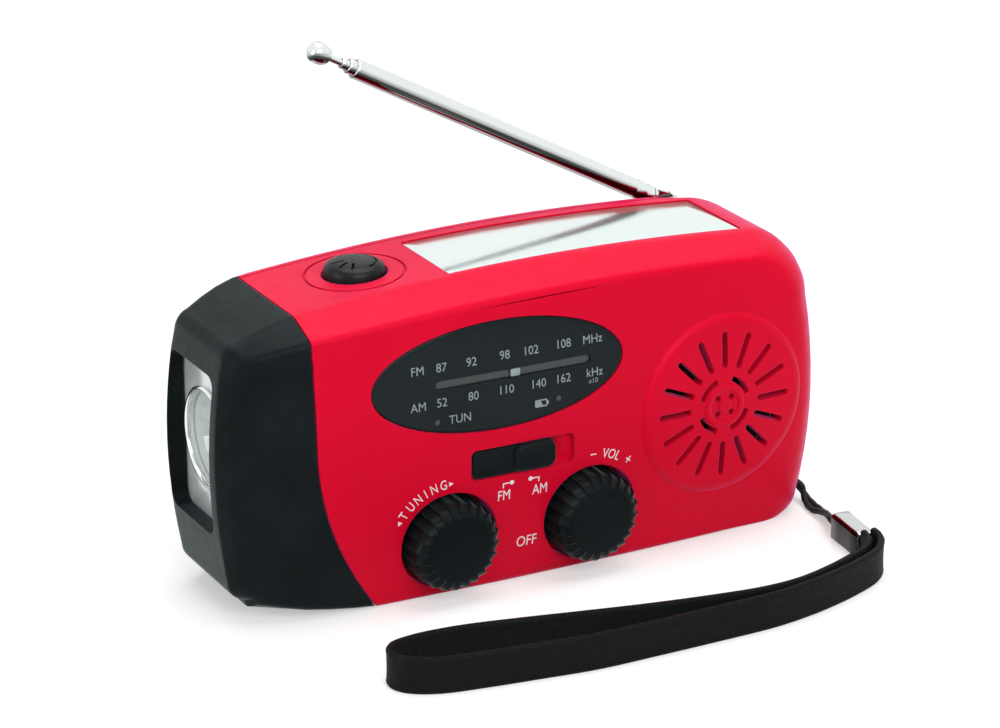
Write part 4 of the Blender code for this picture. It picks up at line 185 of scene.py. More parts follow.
# The wrist strap's cord and band, as points in mm from the foot of the bar that holds the cord
STRAP_BAR = (59.8 * MM, -7.0 * MM, 0.0)
CORD_POINTS = (
    (-0.2, -25.2, 3.0), (0.2, -22.2, 2.3), (1.4, -18.4, 1.3), (2.4, -14.0, 0.9), (2.8, -9.4, 1.0),
    (2.8, -5.6, 2.2), (2.4, -2.4, 4.1), (2.0, 0.1, 4.7), (1.1, 1.6, 4.8), (-0.1, 2.05, 4.8),
    (-1.6, 1.4, 4.8), (-2.05, -0.2, 4.7), (-1.3, -2.2, 4.6), (0.7, -3.8, 4.8), (2.6, -5.7, 3.3),
    (1.9, -8.4, 1.1), (1.1, -12.0, 0.8), (1.0, -15.4, 1.6), (0.2, -18.9, 2.6), (-1.4, -22.4, 3.2),
    (-2.0, -25.0, 3.0),
)
BAND_POINTS = (
    (-1.4, -37.0), (-1.7, -39.4), (-3.2, -42.3), (-6.2, -45.2), (-11.2, -47.6), (-17.8, -49.9),
    (-25.8, -51.9), (-34.6, -53.1), (-46.8, -53.3), (-58.8, -53.3), (-70.8, -53.1), (-81.8, -51.7),
    (-91.5, -50.3), (-99.8, -48.7), (-105.0, -46.0), (-106.8, -42.6), (-105.2, -39.4), (-100.3, -38.3),
    (-93.8, -38.5), (-87.8, -39.4), (-79.3, -41.3), (-69.8, -43.6), (-57.8, -46.4), (-45.8, -48.7),
    (-34.8, -50.2), (-26.4, -49.9), (-18.6, -47.9), (-12.2, -45.5), (-8.4, -43.8), (-5.6, -41.6),
    (-4.2, -39.4), (-3.6, -37.0),
)
CORD_RADIUS = 0.65 * MM
BAND_WIDTH = 7.0 * MM
BAND_THICKNESS = 1.4 * MM
BAND_EDGE = ((0.55, 0), (1, 0.7), (0.86, 1.8))
CLIP_LENGTH = 11.0 * MM
CLIP_HEIGHT = 5.6 * MM
CLIP_THICKNESS = 4.2 * MM
CLIP_FOOT_Z = 0.3 * MM
CLIP_WALL = 0.4 * MM
CLIP_GAP = 0.3 * MM

# Speaker grille: radial slots, and a hub with its own slots and holes
GRILLE_SLOTS = 16
SLOT_START = 7.5 * MM
SLOT_STOP = 14.7 * MM
SLOT_HALF_WIDTH = 0.6 * MM
GRILLE_ROWS = (
    (0, 1.0), (0.5, 1.0), (0.97, 1.0), (1, 0.15), (0.994, -0.05), (0.975, -0.38), (0.95, -0.6), (0.92, -0.72),
    (0.885, -0.8), (0.6, -0.8), (0.3, -0.8), (0, -0.8),
)
HUB_RINGS = (("hub_outer", 3.15 * MM, 4.35 * MM), ("hub_inner", 0.0, 1.45 * MM))
HUB_HOLES = 4
HUB_SLOT_OUTER = 5.85 * MM
HUB_SLOT_INNER = 4.75 * MM
HUB_SLOT_HALF_DEG = 27
HUB_HOLE_CIRCLE = 2.2 * MM
HUB_HOLE_RADIUS = 0.62 * MM

# Torch: lens, plate round it, reflector and lamps; rows are in mm
LENS_THICKNESS = 1.2 * MM
LENS_BULGE = 2.4 * MM
LENS_FIT = 0.15 * MM
LENS_SEAT = 1.5 * MM
LENS_RIM_ROWS = ((0.9, 0.25), (0.65, 0.45), (0.3, 0.45), (0.1, 0.2))
PLATE_HIDDEN = 2.4 * MM
BOARD_X = -50.6 * MM
BOWL_FLANGE = 1.2 * MM
BOWL_FLOOR_X = -51.8 * MM
BOWL_FLOOR_RADIUS = 5.6 * MM
BOWL_CURVE = 1.8
LED_CIRCLE = 3.6 * MM
LED_RADIUS = 2.3 * MM
LED_LENGTH = 5.2 * MM
LED_FOOT_ROWS = ((0, 0), (2.6, 0), (2.6, -1.1), (2.3, -1.15))

# Torch button: shares of its radius and rise, and the sun and moon cut into it
BUTTON_PROFILE = (
    (0.0, 1.0), (0.25, 0.99), (0.5, 0.955), (0.68, 0.89), (0.82, 0.78), (0.9, 0.66), (0.955, 0.5),
    (0.985, 0.3), (1.0, 0.0),
)
BUTTON_SKIRT = 1.9 * MM
MARK_FLOOR_SHARE = 0.72
RAY_ANGLES_DEG = (172, 206, 240)
MOON_OUTER = 4.3 * MM
MOON_INNER = 3.85 * MM
MOON_DEG = (-75, 115)

# Print: places in mm, angles about the knobs in degrees
PRINT_LIFT = 0.03 * MM
LINE_LIFT = 0.025 * MM
FOOT_LIFT = 0.022 * MM
THIN_LIFT = 0.02 * MM
DIAL_WORD_SIZE = 2.35 * MM
DIAL_WORD_SQUEEZE = 0.94
TIMES_TEN_SIZE = 1.35 * MM
TIMES_TEN_PLACE = (9.0 * MM, 38.6 * MM)
LAMPS = ((-23.4 * MM, 36.1 * MM), (1.6 * MM, 36.5 * MM))
LAMP_RADIUS = 0.5 * MM
BATTERY = (-2.1 * MM, 36.15 * MM)
BATTERY_LEVEL = ((-3.15, 35.7), (-1.7, 35.7), (-2.2, 36.6), (-3.15, 36.6))
BATTERY_NUB = ((-0.8, 35.85), (-0.5, 35.85), (-0.5, 36.45), (-0.8, 36.45))
TUNING_WORD_RADIUS = 11.75 * MM
VOLUME_WORD_RADIUS = 12.05 * MM
VOLUME_SIGN_RADIUS = 12.2 * MM
RING_LETTER_SIZE = 2.75 * MM
RING_LETTER_SQUEEZE = 0.74
VOLUME_SIGNS = (("volume_less", "–", 89.0, 3.2), ("volume_more", "+", 50.3, 3.3))
FACE_WORDS = (
    ("off_word", "OFF", 3.1, -4.28, 8.25, 0.8), ("fm_word", "FM", 2.95, -9.66, 18.9, 0.76),
    ("am_word", "AM", 2.95, -2.1, 18.86, 0.76),
)
DIAL_WORDS = (
    ("FM", -27.0, 46.3), ("87", -22.2, 46.3), ("92", -16.1, 46.4), ("98", -9.3, 46.6), ("102", -3.9, 46.6),
    ("108", 2.9, 46.7), ("MHz", 9.1, 46.6), ("AM", -27.1, 39.5), ("52", -22.4, 39.7), ("80", -16.0, 39.9),
    ("110", -9.3, 40.0), ("140", -2.6, 40.0), ("162", 2.6, 40.1), ("kHz", 9.3, 40.2), ("TUN", -18.8, 36.1),
)
TUNING_WORD = (("T", 144.1), ("U", 133.9), ("N", 124.6), ("I", 116.2), ("N", 107.5), ("G", 97.9))
VOLUME_WORD = (("V", 76.6), ("O", 69.6), ("L", 63.0))
ARROW_HALF = 0.46 * MM
LINE_HALF = 0.12 * MM
DOT_RADIUS = 0.45 * MM
BAND_LINE_Z = 21.4 * MM
BAND_LINE_FOOT_Z = 20.5 * MM
BAND_LINES = (("fm", -8.1 * MM, -9.88 * MM), ("am", -4.2 * MM, -2.44 * MM))

# Knobs, antenna, crank, screws and flap; rows and tubes are in mm
KNOB_ROUNDING = 2.7 * MM
KNOB_RIDGE = 0.75 * MM
KNOB_DISH = 0.1 * MM
KNOB_BORE_Y = -22.0 * MM
KNOB_PROFILE = (
    (1.0, 1.0, 1.1), (0.998, 1.0, 0.95), (0.985, 1.0, 0.7), (0.955, 1.0, 0.45), (0.91, 1.0, 0.25),
    (0.86, 1.0, 0.12), (0.81, 0.9, 0.045), (0.76, 0.6, 0.01), (0.72, 0.2, 0.0), (0.7, 0.0, 0.0),
)
KNOB_SWIRL_DEG = 5.0
KNOB_TOOTH = (0.1, 0.2, 0.32, 0.45, 0.6, 0.78, 1.0, 0.0)
KNOB_RIDGES = 24
SHAFT_BORE = 2.52 * MM
ANTENNA_TUBES = (
    ("outer_tube", "antenna_outer", 1.95, 1.65, 4.2, 77.4, "antenna_tube_1", (5.9, 8.5)),
    ("second_tube", "antenna_second", 1.52, 1.22, 6.0, 78.9, "antenna_tube_2", ()),
    ("third_tube", "antenna_third", 1.09, 0.79, 9.0, 80.4, "antenna_tube_3", ()),
)
CRIMP_ROWS = ((-0.55, 0), (-0.25, 0.1), (0, 0.13), (0.25, 0.1), (0.55, 0))
LIP_ROWS = ((0.5, 0), (0.25, 0.04), (0.06, 0.14), (0, 0.24))
ROD_START = 12.0
ROD_RADIUS = 0.66
TIP_PLACE = 85.5
TIP_RADIUS = 2.1
TIP_ROWS = (
    (ROD_RADIUS, -1.12), (1.3, -1.04), (1.75, -0.82), (2.02, -0.45), (TIP_RADIUS, -0.1), (TIP_RADIUS, 0.15),
    (2.0, 0.45), (1.72, 0.72), (1.2, 0.9), (0.5, 0.98), (0, 1.0),
)
BEARING_BORE = 2.56
BOSS_RADIUS = 7.4
BOSS_START = 17.0 * MM
LEVER_REACH = 41.5 * MM
LEVER_HALF = 6.3 * MM
LEVER_HUB_RADIUS = 6.0 * MM
LEVER_WINDOW_REACH = 17.8 * MM
LEVER_WINDOW_HEIGHT = 8.4 * MM
LEVER_CHANNEL_DEPTH = 0.7 * MM
CRANK_HUB_RADIUS = 5.7 * MM
CAP_ROWS = ((0, 0.01), (3.1, 0.01), (3.0, 0.3), (2.2, 0.5), (0, 0.56))
GRIP_PIVOT_REACH = 37.0 * MM
GRIP_GAP = 2.2 * MM
GRIP_Y = 24.1 * MM
GRIP_LENGTH = 13.0 * MM
GRIP_END_ROWS = ((1.3, 0), (2.7, 0), (3.2, 0.3), (3.5, 0.8))
GRIP_GROOVES = 9
GRIP_GROOVE_START = 2.0 * MM
GRIP_GROOVE_PITCH = 1.1 * MM
GROOVE_ROWS = ((3.42, -0.3), (3.12, -0.12), (3.12, 0.12), (3.42, 0.3))
PIN_RADIUS = 1.1 * MM
PIN_HALF = 5.5 * MM
SCREW_SINK = 1.0 * MM
SCREW_HEAD = 1.6 * MM
SCREW_SHANK = 10.4 * MM
SCREW_HOLE_RADII = (1.3 * MM, 2.7 * MM)
SCREW_TIP_ROWS = ((0, 0), (0.6, 0), (1.2, 1.2))
SCREW_HEAD_ROWS = ((2.4, -0.55), (2.25, -0.25), (1.9, -0.06), (1.3, 0), (0, 0))
CROSS_ARM = ((0.38, -0.38), (1.45, -0.38), (1.45, 0.38))
CROSS_DEPTH = 1.0 * MM
FLAP_HALF_LENGTH = 5.5 * MM
FLAP_HALF_HEIGHT = 5.0 * MM
FLAP_THICKNESS = 0.9 * MM
FLAP_SINK = 1.2 * MM
FLAP_PIN_RADIUS = 0.6 * MM

# Floor, world and lamps
FLOOR_HALF = 3.0
FLOOR_TONE = 0.62
FLOOR_LIFT = 0.42
WORLD_LIGHT = 0.28
LIGHTS = (
    ("key", (-0.1, -0.8, 0.55), 0.7, 5.2, 0.5),
    ("top", (0.1, 0.1, 0.9), 0.8, 7.0, 0.7),
    ("left", (-0.8, 0.0, 0.3), 0.4, 2.0, 0.4),
)


# Camera
def add_camera():
    th = math.radians(CAMERA_AZIMUTH_DEG)
    ph = math.radians(CAMERA_ELEVATION_DEG)
    roll = math.radians(CAMERA_ROLL_DEG)
    back = Vector((-math.sin(th) * math.cos(ph), -math.cos(th) * math.cos(ph), math.sin(ph)))
    level = Vector((math.cos(th), -math.sin(th), 0))
    rise = back.cross(level)
    right = level * math.cos(roll) - rise * math.sin(roll)
    up = level * math.sin(roll) + rise * math.cos(roll)
    data = bpy.data.cameras.new("camera")
    data.lens = CAMERA_LENS_MM
    data.sensor_width = SENSOR_MM
    data.sensor_fit = "HORIZONTAL"
    data.clip_start = 0.01
    camera = show("camera", data)
    turn = Matrix((right, up, back)).transposed().to_4x4()
    camera.matrix_world = Matrix.Translation(CAMERA_PLACE) @ turn
    bpy.context.scene.camera = camera


# Materials
def add_node(tree, kind, values=None, **settings):
    """A shader node with its settings, and with the values of its sockets by name or number."""
    node = tree.nodes.new("ShaderNode" + kind)
    for name, value in settings.items():
        setattr(node, name, value)
    for socket, value in (values or {}).items():
        node.inputs[socket].default_value = value
    return node


class Nodes:
    """A material's node tree, with short calls for the few kinds of node used here."""

    def __init__(self, name, colour, roughness, metallic=0.0):
        self.made = bpy.data.materials.new(name)
        self.made.use_nodes = True
        self.tree = self.made.node_tree
        self.shader = self.tree.nodes["Principled BSDF"]
        self.colour = colour
        self.roughness = roughness
        self.set(Base_Color=(*colour, 1), Roughness=roughness, Metallic=metallic)
        place = self.add("TexCoord")
        self.place = place.outputs["Object"]
        self.uv = place.outputs["UV"]
        self.normal = place.outputs["Normal"]

    def add(self, kind, values=None, **settings):
        return add_node(self.tree, kind, values, **settings)

    def set(self, **values):
        for name, value in values.items():
            self.shader.inputs[name.replace("_", " ")].default_value = value
        return self

    def link(self, start, stop):
        self.tree.links.new(start, stop)

    def feed(self, output, socket):
        """Links an output to one of the shader's own sockets."""
        self.link(output, self.shader.inputs[socket])
        return self

    def noise(self, size, detail=3.0, stretch=None, seed=0.0):
        """Noise whose grains are about this size in metres."""
        node = self.add("TexNoise", {"W": seed, "Scale": 1 / size, "Detail": detail}, noise_dimensions="4D")
        start = self.place
        if stretch:
            mapping = self.add("Mapping", {"Scale": stretch})
            self.link(start, mapping.inputs["Vector"])
            start = mapping.outputs["Vector"]
        self.link(start, node.inputs["Vector"])
        return node.outputs["Fac"]

    def ranged(self, value, low, high, start=0.3, stop=0.7):
        node = self.add("MapRange", {"From Min": start, "From Max": stop, "To Min": low, "To Max": high})
        self.link(value, node.inputs["Value"])
        return node.outputs["Result"]

    def mixed(self, share, first, second):
        node = self.add("Mix", data_type="RGBA")
        self.link(share, node.inputs[0])
        node.inputs[6].default_value = (*first, 1)
        node.inputs[7].default_value = (*second, 1)
        return node.outputs[2]

    def vary_colour(self, share, size):
        """Slow variation of the colour, from a little darker to a little paler."""
        first, second = [[min(1.0, value * (1 + way * share)) for value in self.colour] for way in (-1, 1)]
        fac = self.ranged(self.noise(size, 4.0), 0, 1)
        return self.feed(self.mixed(fac, first, second), "Base Color")

    def vary_roughness(self, spread, size, stretch=None):
        fac = self.noise(size, 5.0, stretch, 3.0)
        low = max(0.02, self.roughness - spread)
        return self.feed(self.ranged(fac, low, self.roughness + spread), "Roughness")

    def bump(self, height, size, strength, stretch=None, source=None, rounding=0.0):
        """Fine relief; height in metres. Rounding softens the look of sharp edges."""
        node = self.add("Bump", {"Distance": height, "Strength": strength})
        self.link(source or self.noise(size, 3.0, stretch, 7.0), node.inputs["Height"])
        if rounding:
            edge = self.add("Bevel", {"Radius": rounding}, samples=4)
            self.link(edge.outputs["Normal"], node.inputs["Normal"])
        return self.feed(node.outputs["Normal"], "Normal")


def surface(
    name, colour, roughness, colour_grain, roughness_grain, relief, rounding=0.0, metallic=0.0, **values
):
    """A finish whose colour and roughness vary slowly over a fine relief."""
    m = Nodes(name, colour, roughness, metallic)
    m.set(**values)
    if colour_grain:
        m.vary_colour(*colour_grain)
    m.vary_roughness(*roughness_grain)
    return m.bump(*relief, rounding=rounding).made


def black_plastic(name="black_plastic", roughness=0.42, relief=0.18):
    return surface(
        name, (0.0042, 0.0068, 0.0078), roughness, (0.35, 0.009), (0.07, 0.0022),
        (0.00005, 0.0003, relief), 0.0003, Specular_IOR_Level=0.07, Sheen_Weight=0.3, Sheen_Roughness=0.3,
        Sheen_Tint=(0.75, 1, 1, 1),
    )


def metal(name, colour, roughness, brushed=None, grain=0.0006, relief=0.08):
    return surface(
        name, colour, roughness, (0.1, 0.006), (roughness * 0.35, grain * 3, brushed),
        (0.00002, grain, relief, brushed), 0.00015, 1.0,
    )


def painted_reflection_metal(name, roughness, way, tones, grain, stretch):
    """Polished metal with a painted reflection: its colour runs through tones of what lies round it, set by
    the way each face points, from one side of the piece to the other.
    """
    m = Nodes(name, (0.8, 0.83, 0.82), roughness, 1.0)
    side = m.add("VectorMath", {1: way}, operation="DOT_PRODUCT")
    m.link(m.normal, side.inputs[0])
    ramp = m.add("ValToRGB")
    m.link(m.ranged(side.outputs["Value"], 0, 1, -1, 1), ramp.inputs["Fac"])
    steps = ramp.color_ramp
    while len(steps.elements) < len(tones):
        steps.elements.new(0.5)
    for step, (place, level) in zip(steps.elements, tones):
        step.position = place
        step.color = (level * 0.94, level, level * 0.985, 1)
    m.feed(ramp.outputs["Color"], "Base Color").vary_roughness(0.03, 0.004, stretch)
    return m.bump(0.00002, grain, 0.04, stretch).made


def plain(name, colour, roughness, share=0.12, size=0.005, grain=0.0004, relief=0.15):
    return surface(name, colour, roughness, (share, size), (0.06, size / 3), (0.00004, grain, relief))


def solar_film():
    """A bright film over rows of thin cells, with fine collector lines across them."""
    m = Nodes("solar_film", (0.79, 0.88, 0.855), 0.15, 0.85)
    wave = m.add("TexWave", {"Scale": 95.0}, wave_type="BANDS", bands_direction="X")
    m.link(m.place, wave.inputs["Vector"])
    lines = m.ranged(wave.outputs["Fac"], 0, 1, 0.0, 0.05)
    m.feed(m.mixed(lines, (0.765, 0.855, 0.83), m.colour), "Base Color").vary_roughness(0.03, 0.006)
    return m.bump(0.00002, 0.003, 0.08).made


def woven():
    """Flat black webbing: rows of small crossed threads that follow the band."""
    m = Nodes("webbing", (0.0028, 0.0036, 0.0038), 0.6)
    m.set(Specular_IOR_Level=0.12)
    gaps = {"Mortar Size": 0.13, "Mortar Smooth": 1.0}
    brick = m.add("TexBrick", {"Scale": 1.0, "Brick Width": 1.0, "Row Height": 0.62, **gaps}, offset=0.5)
    mapping = m.add("Mapping", {"Scale": (1050.0, 1050.0, 1.0), "Rotation": (0, 0, math.radians(18))})
    m.link(m.uv, mapping.inputs["Vector"])
    m.link(mapping.outputs["Vector"], brick.inputs["Vector"])
    m.vary_colour(0.5, 0.0016).vary_roughness(0.08, 0.001)
    fac = m.ranged(brick.outputs["Fac"], 1, 0, 0, 1)
    return m.bump(0.0004, 0.001, 0.9, source=fac).made


RED = surface(
    "red_satin", (0.66, 0.0012, 0.021), 0.44, (0.05, 0.02), (0.05, 0.003), (0.00004, 0.00035, 0.12), 0.0003,
    Specular_IOR_Level=0.16, Specular_Tint=(1, 0.35, 0.7, 1), Sheen_Weight=0.75, Sheen_Roughness=0.32,
    Sheen_Tint=(0.8, 0.16, 0.62, 1),
)
BLACK = black_plastic()
KNOB_BLACK = black_plastic("knob_black", 0.36, 0.1)
RUBBER = surface(
    "rubber_black", (0.004, 0.0058, 0.0066), 0.36, (0.3, 0.003), (0.06, 0.001), (0.00005, 0.00022, 0.3),
    0.0002, Specular_IOR_Level=0.16,
)
DIAL_GLOSS = surface(
    "dial_gloss", (0.0065, 0.0115, 0.0132), 0.14, (0.2, 0.02), (0.03, 0.006), (0.00002, 0.004, 0.05),
    0.0003, Specular_IOR_Level=0.12,
)
CLEAR = surface(
    "lens_clear", (0.86, 0.92, 0.92), 0.05, None, (0.025, 0.003), (0.00003, 0.0012, 0.1),
    Alpha=0.2, IOR=1.5, Specular_IOR_Level=0.8,
)
# Painted reflection on the chrome tubes and rod: light and dark bands painted into the colour by the way each
# face points
CHROME_PAINTED_REFLECTION_WAY = (-0.26, -0.31, -0.91)
CHROME_PAINTED_REFLECTION_TONES = (
    (0.0, 0.5), (0.05, 0.4), (0.09, 0.86), (0.45, 0.86), (0.55, 0.72), (0.63, 0.38), (0.7, 0.07),
    (0.82, 0.03), (0.88, 0.04), (0.92, 0.4), (0.95, 0.55), (1.0, 0.12),
)
# Painted shade and painted highlight on the clip's metal: its top painted light, the side facing minus X
# painted dark
CRIMP_PAINTED_SHADE_TONES = ((0.0, 0.5), (0.5, 0.68), (0.66, 0.6), (0.78, 0.12), (0.9, 0.02), (1.0, 0.015))
CHROME = painted_reflection_metal("chrome_painted_reflection", 0.09, CHROME_PAINTED_REFLECTION_WAY, CHROME_PAINTED_REFLECTION_TONES, 0.0015, (1, 1, 6))
CRIMP = painted_reflection_metal("crimp_painted_shade", 0.2, (-1, -0.2, 0), CRIMP_PAINTED_SHADE_TONES, 0.0003, (1, 1, 14))
SILVER = metal("mirror_film", (0.86, 0.9, 0.89), 0.2, grain=0.001)
SILVER_PAINT = plain("silver_paint", (0.72, 0.78, 0.78), 0.22, 0.08, 0.004)
SILVER_PAINT.node_tree.nodes["Principled BSDF"].inputs["Metallic"].default_value = 0.45
STEEL = metal("steel_plain", (0.5, 0.51, 0.52), 0.32, (1, 12, 1), grain=0.0004)
BRASS = metal("brass_plain", (0.62, 0.43, 0.17), 0.28)
COPPER = metal("copper_wire", (0.6, 0.22, 0.09), 0.34, (20, 1, 1), grain=0.0003, relief=0.4)
SOLAR = solar_film()
BOARD = surface(
    "board_lacquer", (0.015, 0.12, 0.045), 0.35, (0.35, 0.0025), (0.08, 0.002), (0.00005, 0.0012, 0.3),
    Coat_Weight=0.4, Coat_Roughness=0.15,
)
WOVEN = woven()
TWISTED = surface(
    "cord_fibre", (0.0045, 0.0055, 0.0055), 0.6, (0.4, 0.0008), (0.08, 0.0006), (0.00008, 0.00018, 0.5),
    Specular_IOR_Level=0.2, Sheen_Weight=0.05, Sheen_Roughness=0.4,
)
INK_RELIEF = (0.00001, 0.0002, 0.1)
PRINT_WHITE = surface("print_white", (0.8, 0.76, 0.78), 0.5, (0.06, 0.0012), (0.05, 0.001), INK_RELIEF)
PRINT_GREY = surface("print_grey", (0.24, 0.29, 0.3), 0.4, (0.08, 0.0012), (0.05, 0.001), INK_RELIEF)
WHITE_PLASTIC = plain("nylon_white", (0.68, 0.67, 0.62), 0.42)
FERRITE = plain("ferrite_grey", (0.03, 0.03, 0.034), 0.68, 0.3, 0.002)
SLEEVE = plain("cell_wrap", (0.04, 0.2, 0.11), 0.3, 0.1, 0.01)
PAPER = plain("paper_pulp", (0.02, 0.019, 0.018), 0.88, 0.4, 0.0012, 0.0003, 0.5)
LED = plain("led_resin", (0.82, 0.83, 0.74), 0.12, 0.05)
POINTER = plain("pointer_pale", (0.26, 0.31, 0.31), 0.3, 0.1, 0.001)
TRACK = plain("track_grey", (0.028, 0.038, 0.04), 0.3, 0.15, 0.003)
LAMP = plain("lamp_grey", (0.03, 0.036, 0.036), 0.25, 0.1, 0.001)

SLOT_FINISH = {
    "red_shell": RED, "black_shell": BLACK, "black_rubber": RUBBER, "clear_plastic": CLEAR, "silver": SILVER,
    "crimp_metal": CRIMP, "chrome": CHROME, "steel": STEEL, "dial_black": DIAL_GLOSS, "solar_glass": SOLAR,
    "white_plastic": WHITE_PLASTIC, "board_green": BOARD, "brass": BRASS, "ferrite": FERRITE,
    "copper": COPPER, "cell_sleeve": SLEEVE, "strap_black": WOVEN, "paper_cone": PAPER, "led_clear": LED,
}


def dress_nodes():
    """Gives every CAD node the detailed finish of its slot."""
    for name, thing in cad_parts.items():
        for slot in thing.material_slots:
            base = slot.material.name.split(".")[0]
            if base in SLOT_FINISH:
                slot.material = SLOT_FINISH[base]


# Mesh helpers
def to_piece(bm, name, finish, sharp_deg=35):
    bmesh.ops.recalc_face_normals(bm, faces=bm.faces[:])
    mesh = bpy.data.meshes.new(name)
    bm.to_mesh(mesh)
    bm.free()
    mesh.shade_smooth()
    mesh.set_sharp_from_angle(angle=math.radians(sharp_deg))
    if finish:
        mesh.materials.append(finish)
    return show(name, mesh)


def show(name, data):
    thing = bpy.data.objects.new(name, data)
    bpy.context.scene.collection.objects.link(thing)
    return thing


def placed(axis, u, v, along):
    if axis == "X":
        return Vector((along, u, v))
    if axis == "Y":
        return Vector((u, along, v))
    return Vector((u, v, along))


def bridge(bm, first, second):
    count = len(first)
    for i in range(count):
        bm.faces.new((first[i], first[(i + 1) % count], second[(i + 1) % count], second[i]))


def fan(bm, ring, tip):
    for i in range(len(ring)):
        bm.faces.new((ring[i], ring[(i + 1) % len(ring)], tip))


def lofted(name, rings, finish=None, sharp_deg=35):
    """Rings of points joined in order; a single point closes its end with a fan."""
    bm = bmesh.new()
    made = []
    for ring in rings:
        made.append([bm.verts.new(point) for point in ring] if isinstance(ring, list) else bm.verts.new(ring))
    for first, second in zip(made, made[1:]):
        if isinstance(first, list) and isinstance(second, list):
            bridge(bm, first, second)
        elif isinstance(first, list):
            fan(bm, first, second)
        else:
            fan(bm, second, first)
    for end in (made[0], made[-1]):
        if isinstance(end, list):
            bm.faces.new(end)
    return to_piece(bm, name, finish, sharp_deg)


def prism(name, outline, axis, start, stop, finish=None):
    rings = [[placed(axis, u, v, along) for u, v in outline] for along in (start, stop)]
    return lofted(name, rings, finish)


def turned(name, profile, centre, axis, finish=None, steps=64, sharp_deg=35):
    """A profile of (radius, place along the axis) turned about an axis through centre."""
    rings = []
    for radius, along in profile:
        ring = [placed(axis, *spun(centre, radius, 0, math.tau * i / steps), along) for i in range(steps)]
        rings.append(ring if radius > 0 else placed(axis, *centre, along))
    if isinstance(rings[0], list):
        rings.append(rings[0])
        return closed_loft(name, rings, finish, sharp_deg)
    return lofted(name, rings, finish, sharp_deg)


def closed_loft(name, rings, finish, sharp_deg):
    """Rings whose last one is the first again, as round a tube or a torus."""
    bm = bmesh.new()
    made = [[bm.verts.new(point) for point in ring] for ring in rings[:-1]]
    for first, second in zip(made, made[1:] + made[:1]):
        bridge(bm, first, second)
    return to_piece(bm, name, finish, sharp_deg)


def cylinder(name, radius, centre, axis, start, stop, finish=None, steps=48):
    return turned(name, ((0, start), (radius, start), (radius, stop), (0, stop)), centre, axis, finish, steps)


def box(name, low, high, finish=None):
    outline = ((low[0], low[1]), (high[0], low[1]), (high[0], high[1]), (low[0], high[1]))
    return prism(name, outline, "Z", low[2], high[2], finish)


def arc(u, v, radius, start_deg, stop_deg, count):
    points = []
    for i in range(count):
        angle = math.radians(start_deg + (stop_deg - start_deg) * i / (count - 1))
        points.append((u + radius * math.cos(angle), v + radius * math.sin(angle)))
    return points


def rounded_box(u, v, width, height, radius, count=7):
    across = width / 2 - radius
    up = height / 2 - radius
    points = arc(u + across, v + up, radius, 0, 90, count)
    points += arc(u - across, v + up, radius, 90, 180, count)
    points += arc(u - across, v - up, radius, 180, 270, count)
    points += arc(u + across, v - up, radius, 270, 360, count)
    return points


def ellipse(half_length, half_height, steps=96):
    return [
        (half_length * math.cos(math.tau * i / steps), half_height * math.sin(math.tau * i / steps))
        for i in range(steps)
    ]


def spun(centre, u, v, angle):
    """The point (u, v) about a centre, turned by an angle."""
    return (
        centre[0] + u * math.cos(angle) - v * math.sin(angle),
        centre[1] + u * math.sin(angle) + v * math.cos(angle),
    )


def rows_at(place, *rows):
    """Rows of a profile in mm: a radius, and a distance from a place along the axis."""
    return [(radius * MM, place + gone * MM) for radius, gone in rows]


def centred(centre, outline):
    """An outline moved to a centre."""
    return [(centre[0] + u, centre[1] + v) for u, v in outline]


def joined(name, things):
    bm = bmesh.new()
    for thing in things:
        bm.from_mesh(thing.data)
        bpy.data.objects.remove(thing)
    return to_piece(bm, name, None)


def shown_mesh(thing):
    """A mesh of what a piece shows, with its modifiers or its text applied."""
    graph = bpy.context.evaluated_depsgraph_get()
    return bpy.data.meshes.new_from_object(thing.evaluated_get(graph), depsgraph=graph)


def settle(thing, sharp_deg=35):
    """Applies a piece's modifiers and keeps its material and shading."""
    mesh = shown_mesh(thing)
    thing.modifiers.clear()
    thing.data = mesh
    mesh.shade_smooth()
    mesh.set_sharp_from_angle(angle=math.radians(sharp_deg))
    return thing


def boolean(target, tool, operation, overlapping=False):
    step = target.modifiers.new(tool.name, "BOOLEAN")
    step.operation = operation
    step.solver = "EXACT"
    step.use_self = overlapping
    step.object = tool
    settle(target)
    bpy.data.objects.remove(tool)
    return target


def cut(target, *tools, overlapping=False):
    for tool in tools:
        boolean(target, tool, "DIFFERENCE", overlapping)
    return target


def bevelled(thing, width, segments=3):
    step = thing.modifiers.new("edges", "BEVEL")
    step.width = width
    step.segments = segments
    step.limit_method = "ANGLE"
    step.angle_limit = math.radians(BEVEL_LIMIT_DEG)
    step.harden_normals = False
    return settle(thing)


def weighted(thing):
    step = thing.modifiers.new("weights", "WEIGHTED_NORMAL")
    step.keep_sharp = True
    mesh = shown_mesh(thing)
    thing.modifiers.clear()
    thing.data = mesh
    return thing


# Form of the case
def bow(distance, radius):
    return distance * distance / (2 * radius)


def head_share(x):
    return min(1.0, max(0.0, (-SEAM_TOP_X - x) / (LEFT_REACH - SEAM_TOP_X)))


def foot_share(x):
    return min(1.0, max(0.0, (-SEAM_FOOT_X - x) / (LEFT_REACH - SEAM_FOOT_X)))


def right_share(x):
    start = RIGHT_REACH - ROUNDING_LENGTH
    return min(1.0, max(0.0, (x - start) / (ROUNDING_LENGTH - RIGHT_ROUNDING)))


def face_depth(x, z, reach):
    depth = reach - bow(x - CREST_X, PLAN_BOW_RADIUS) - bow(z - WAIST_Z, FACE_BOW_RADIUS)
    return depth - HEAD_TAPER * head_share(x) ** 1.5


def front_y(x, z):
    return -face_depth(x, z, FRONT_REACH)


def rear_y(x, z):
    return face_depth(x, z, REAR_REACH)


def top_z(x):
    return HEIGHT - bow(x - CREST_X, TOP_BOW_RADIUS) - HEAD_DROP * head_share(x) ** 1.5


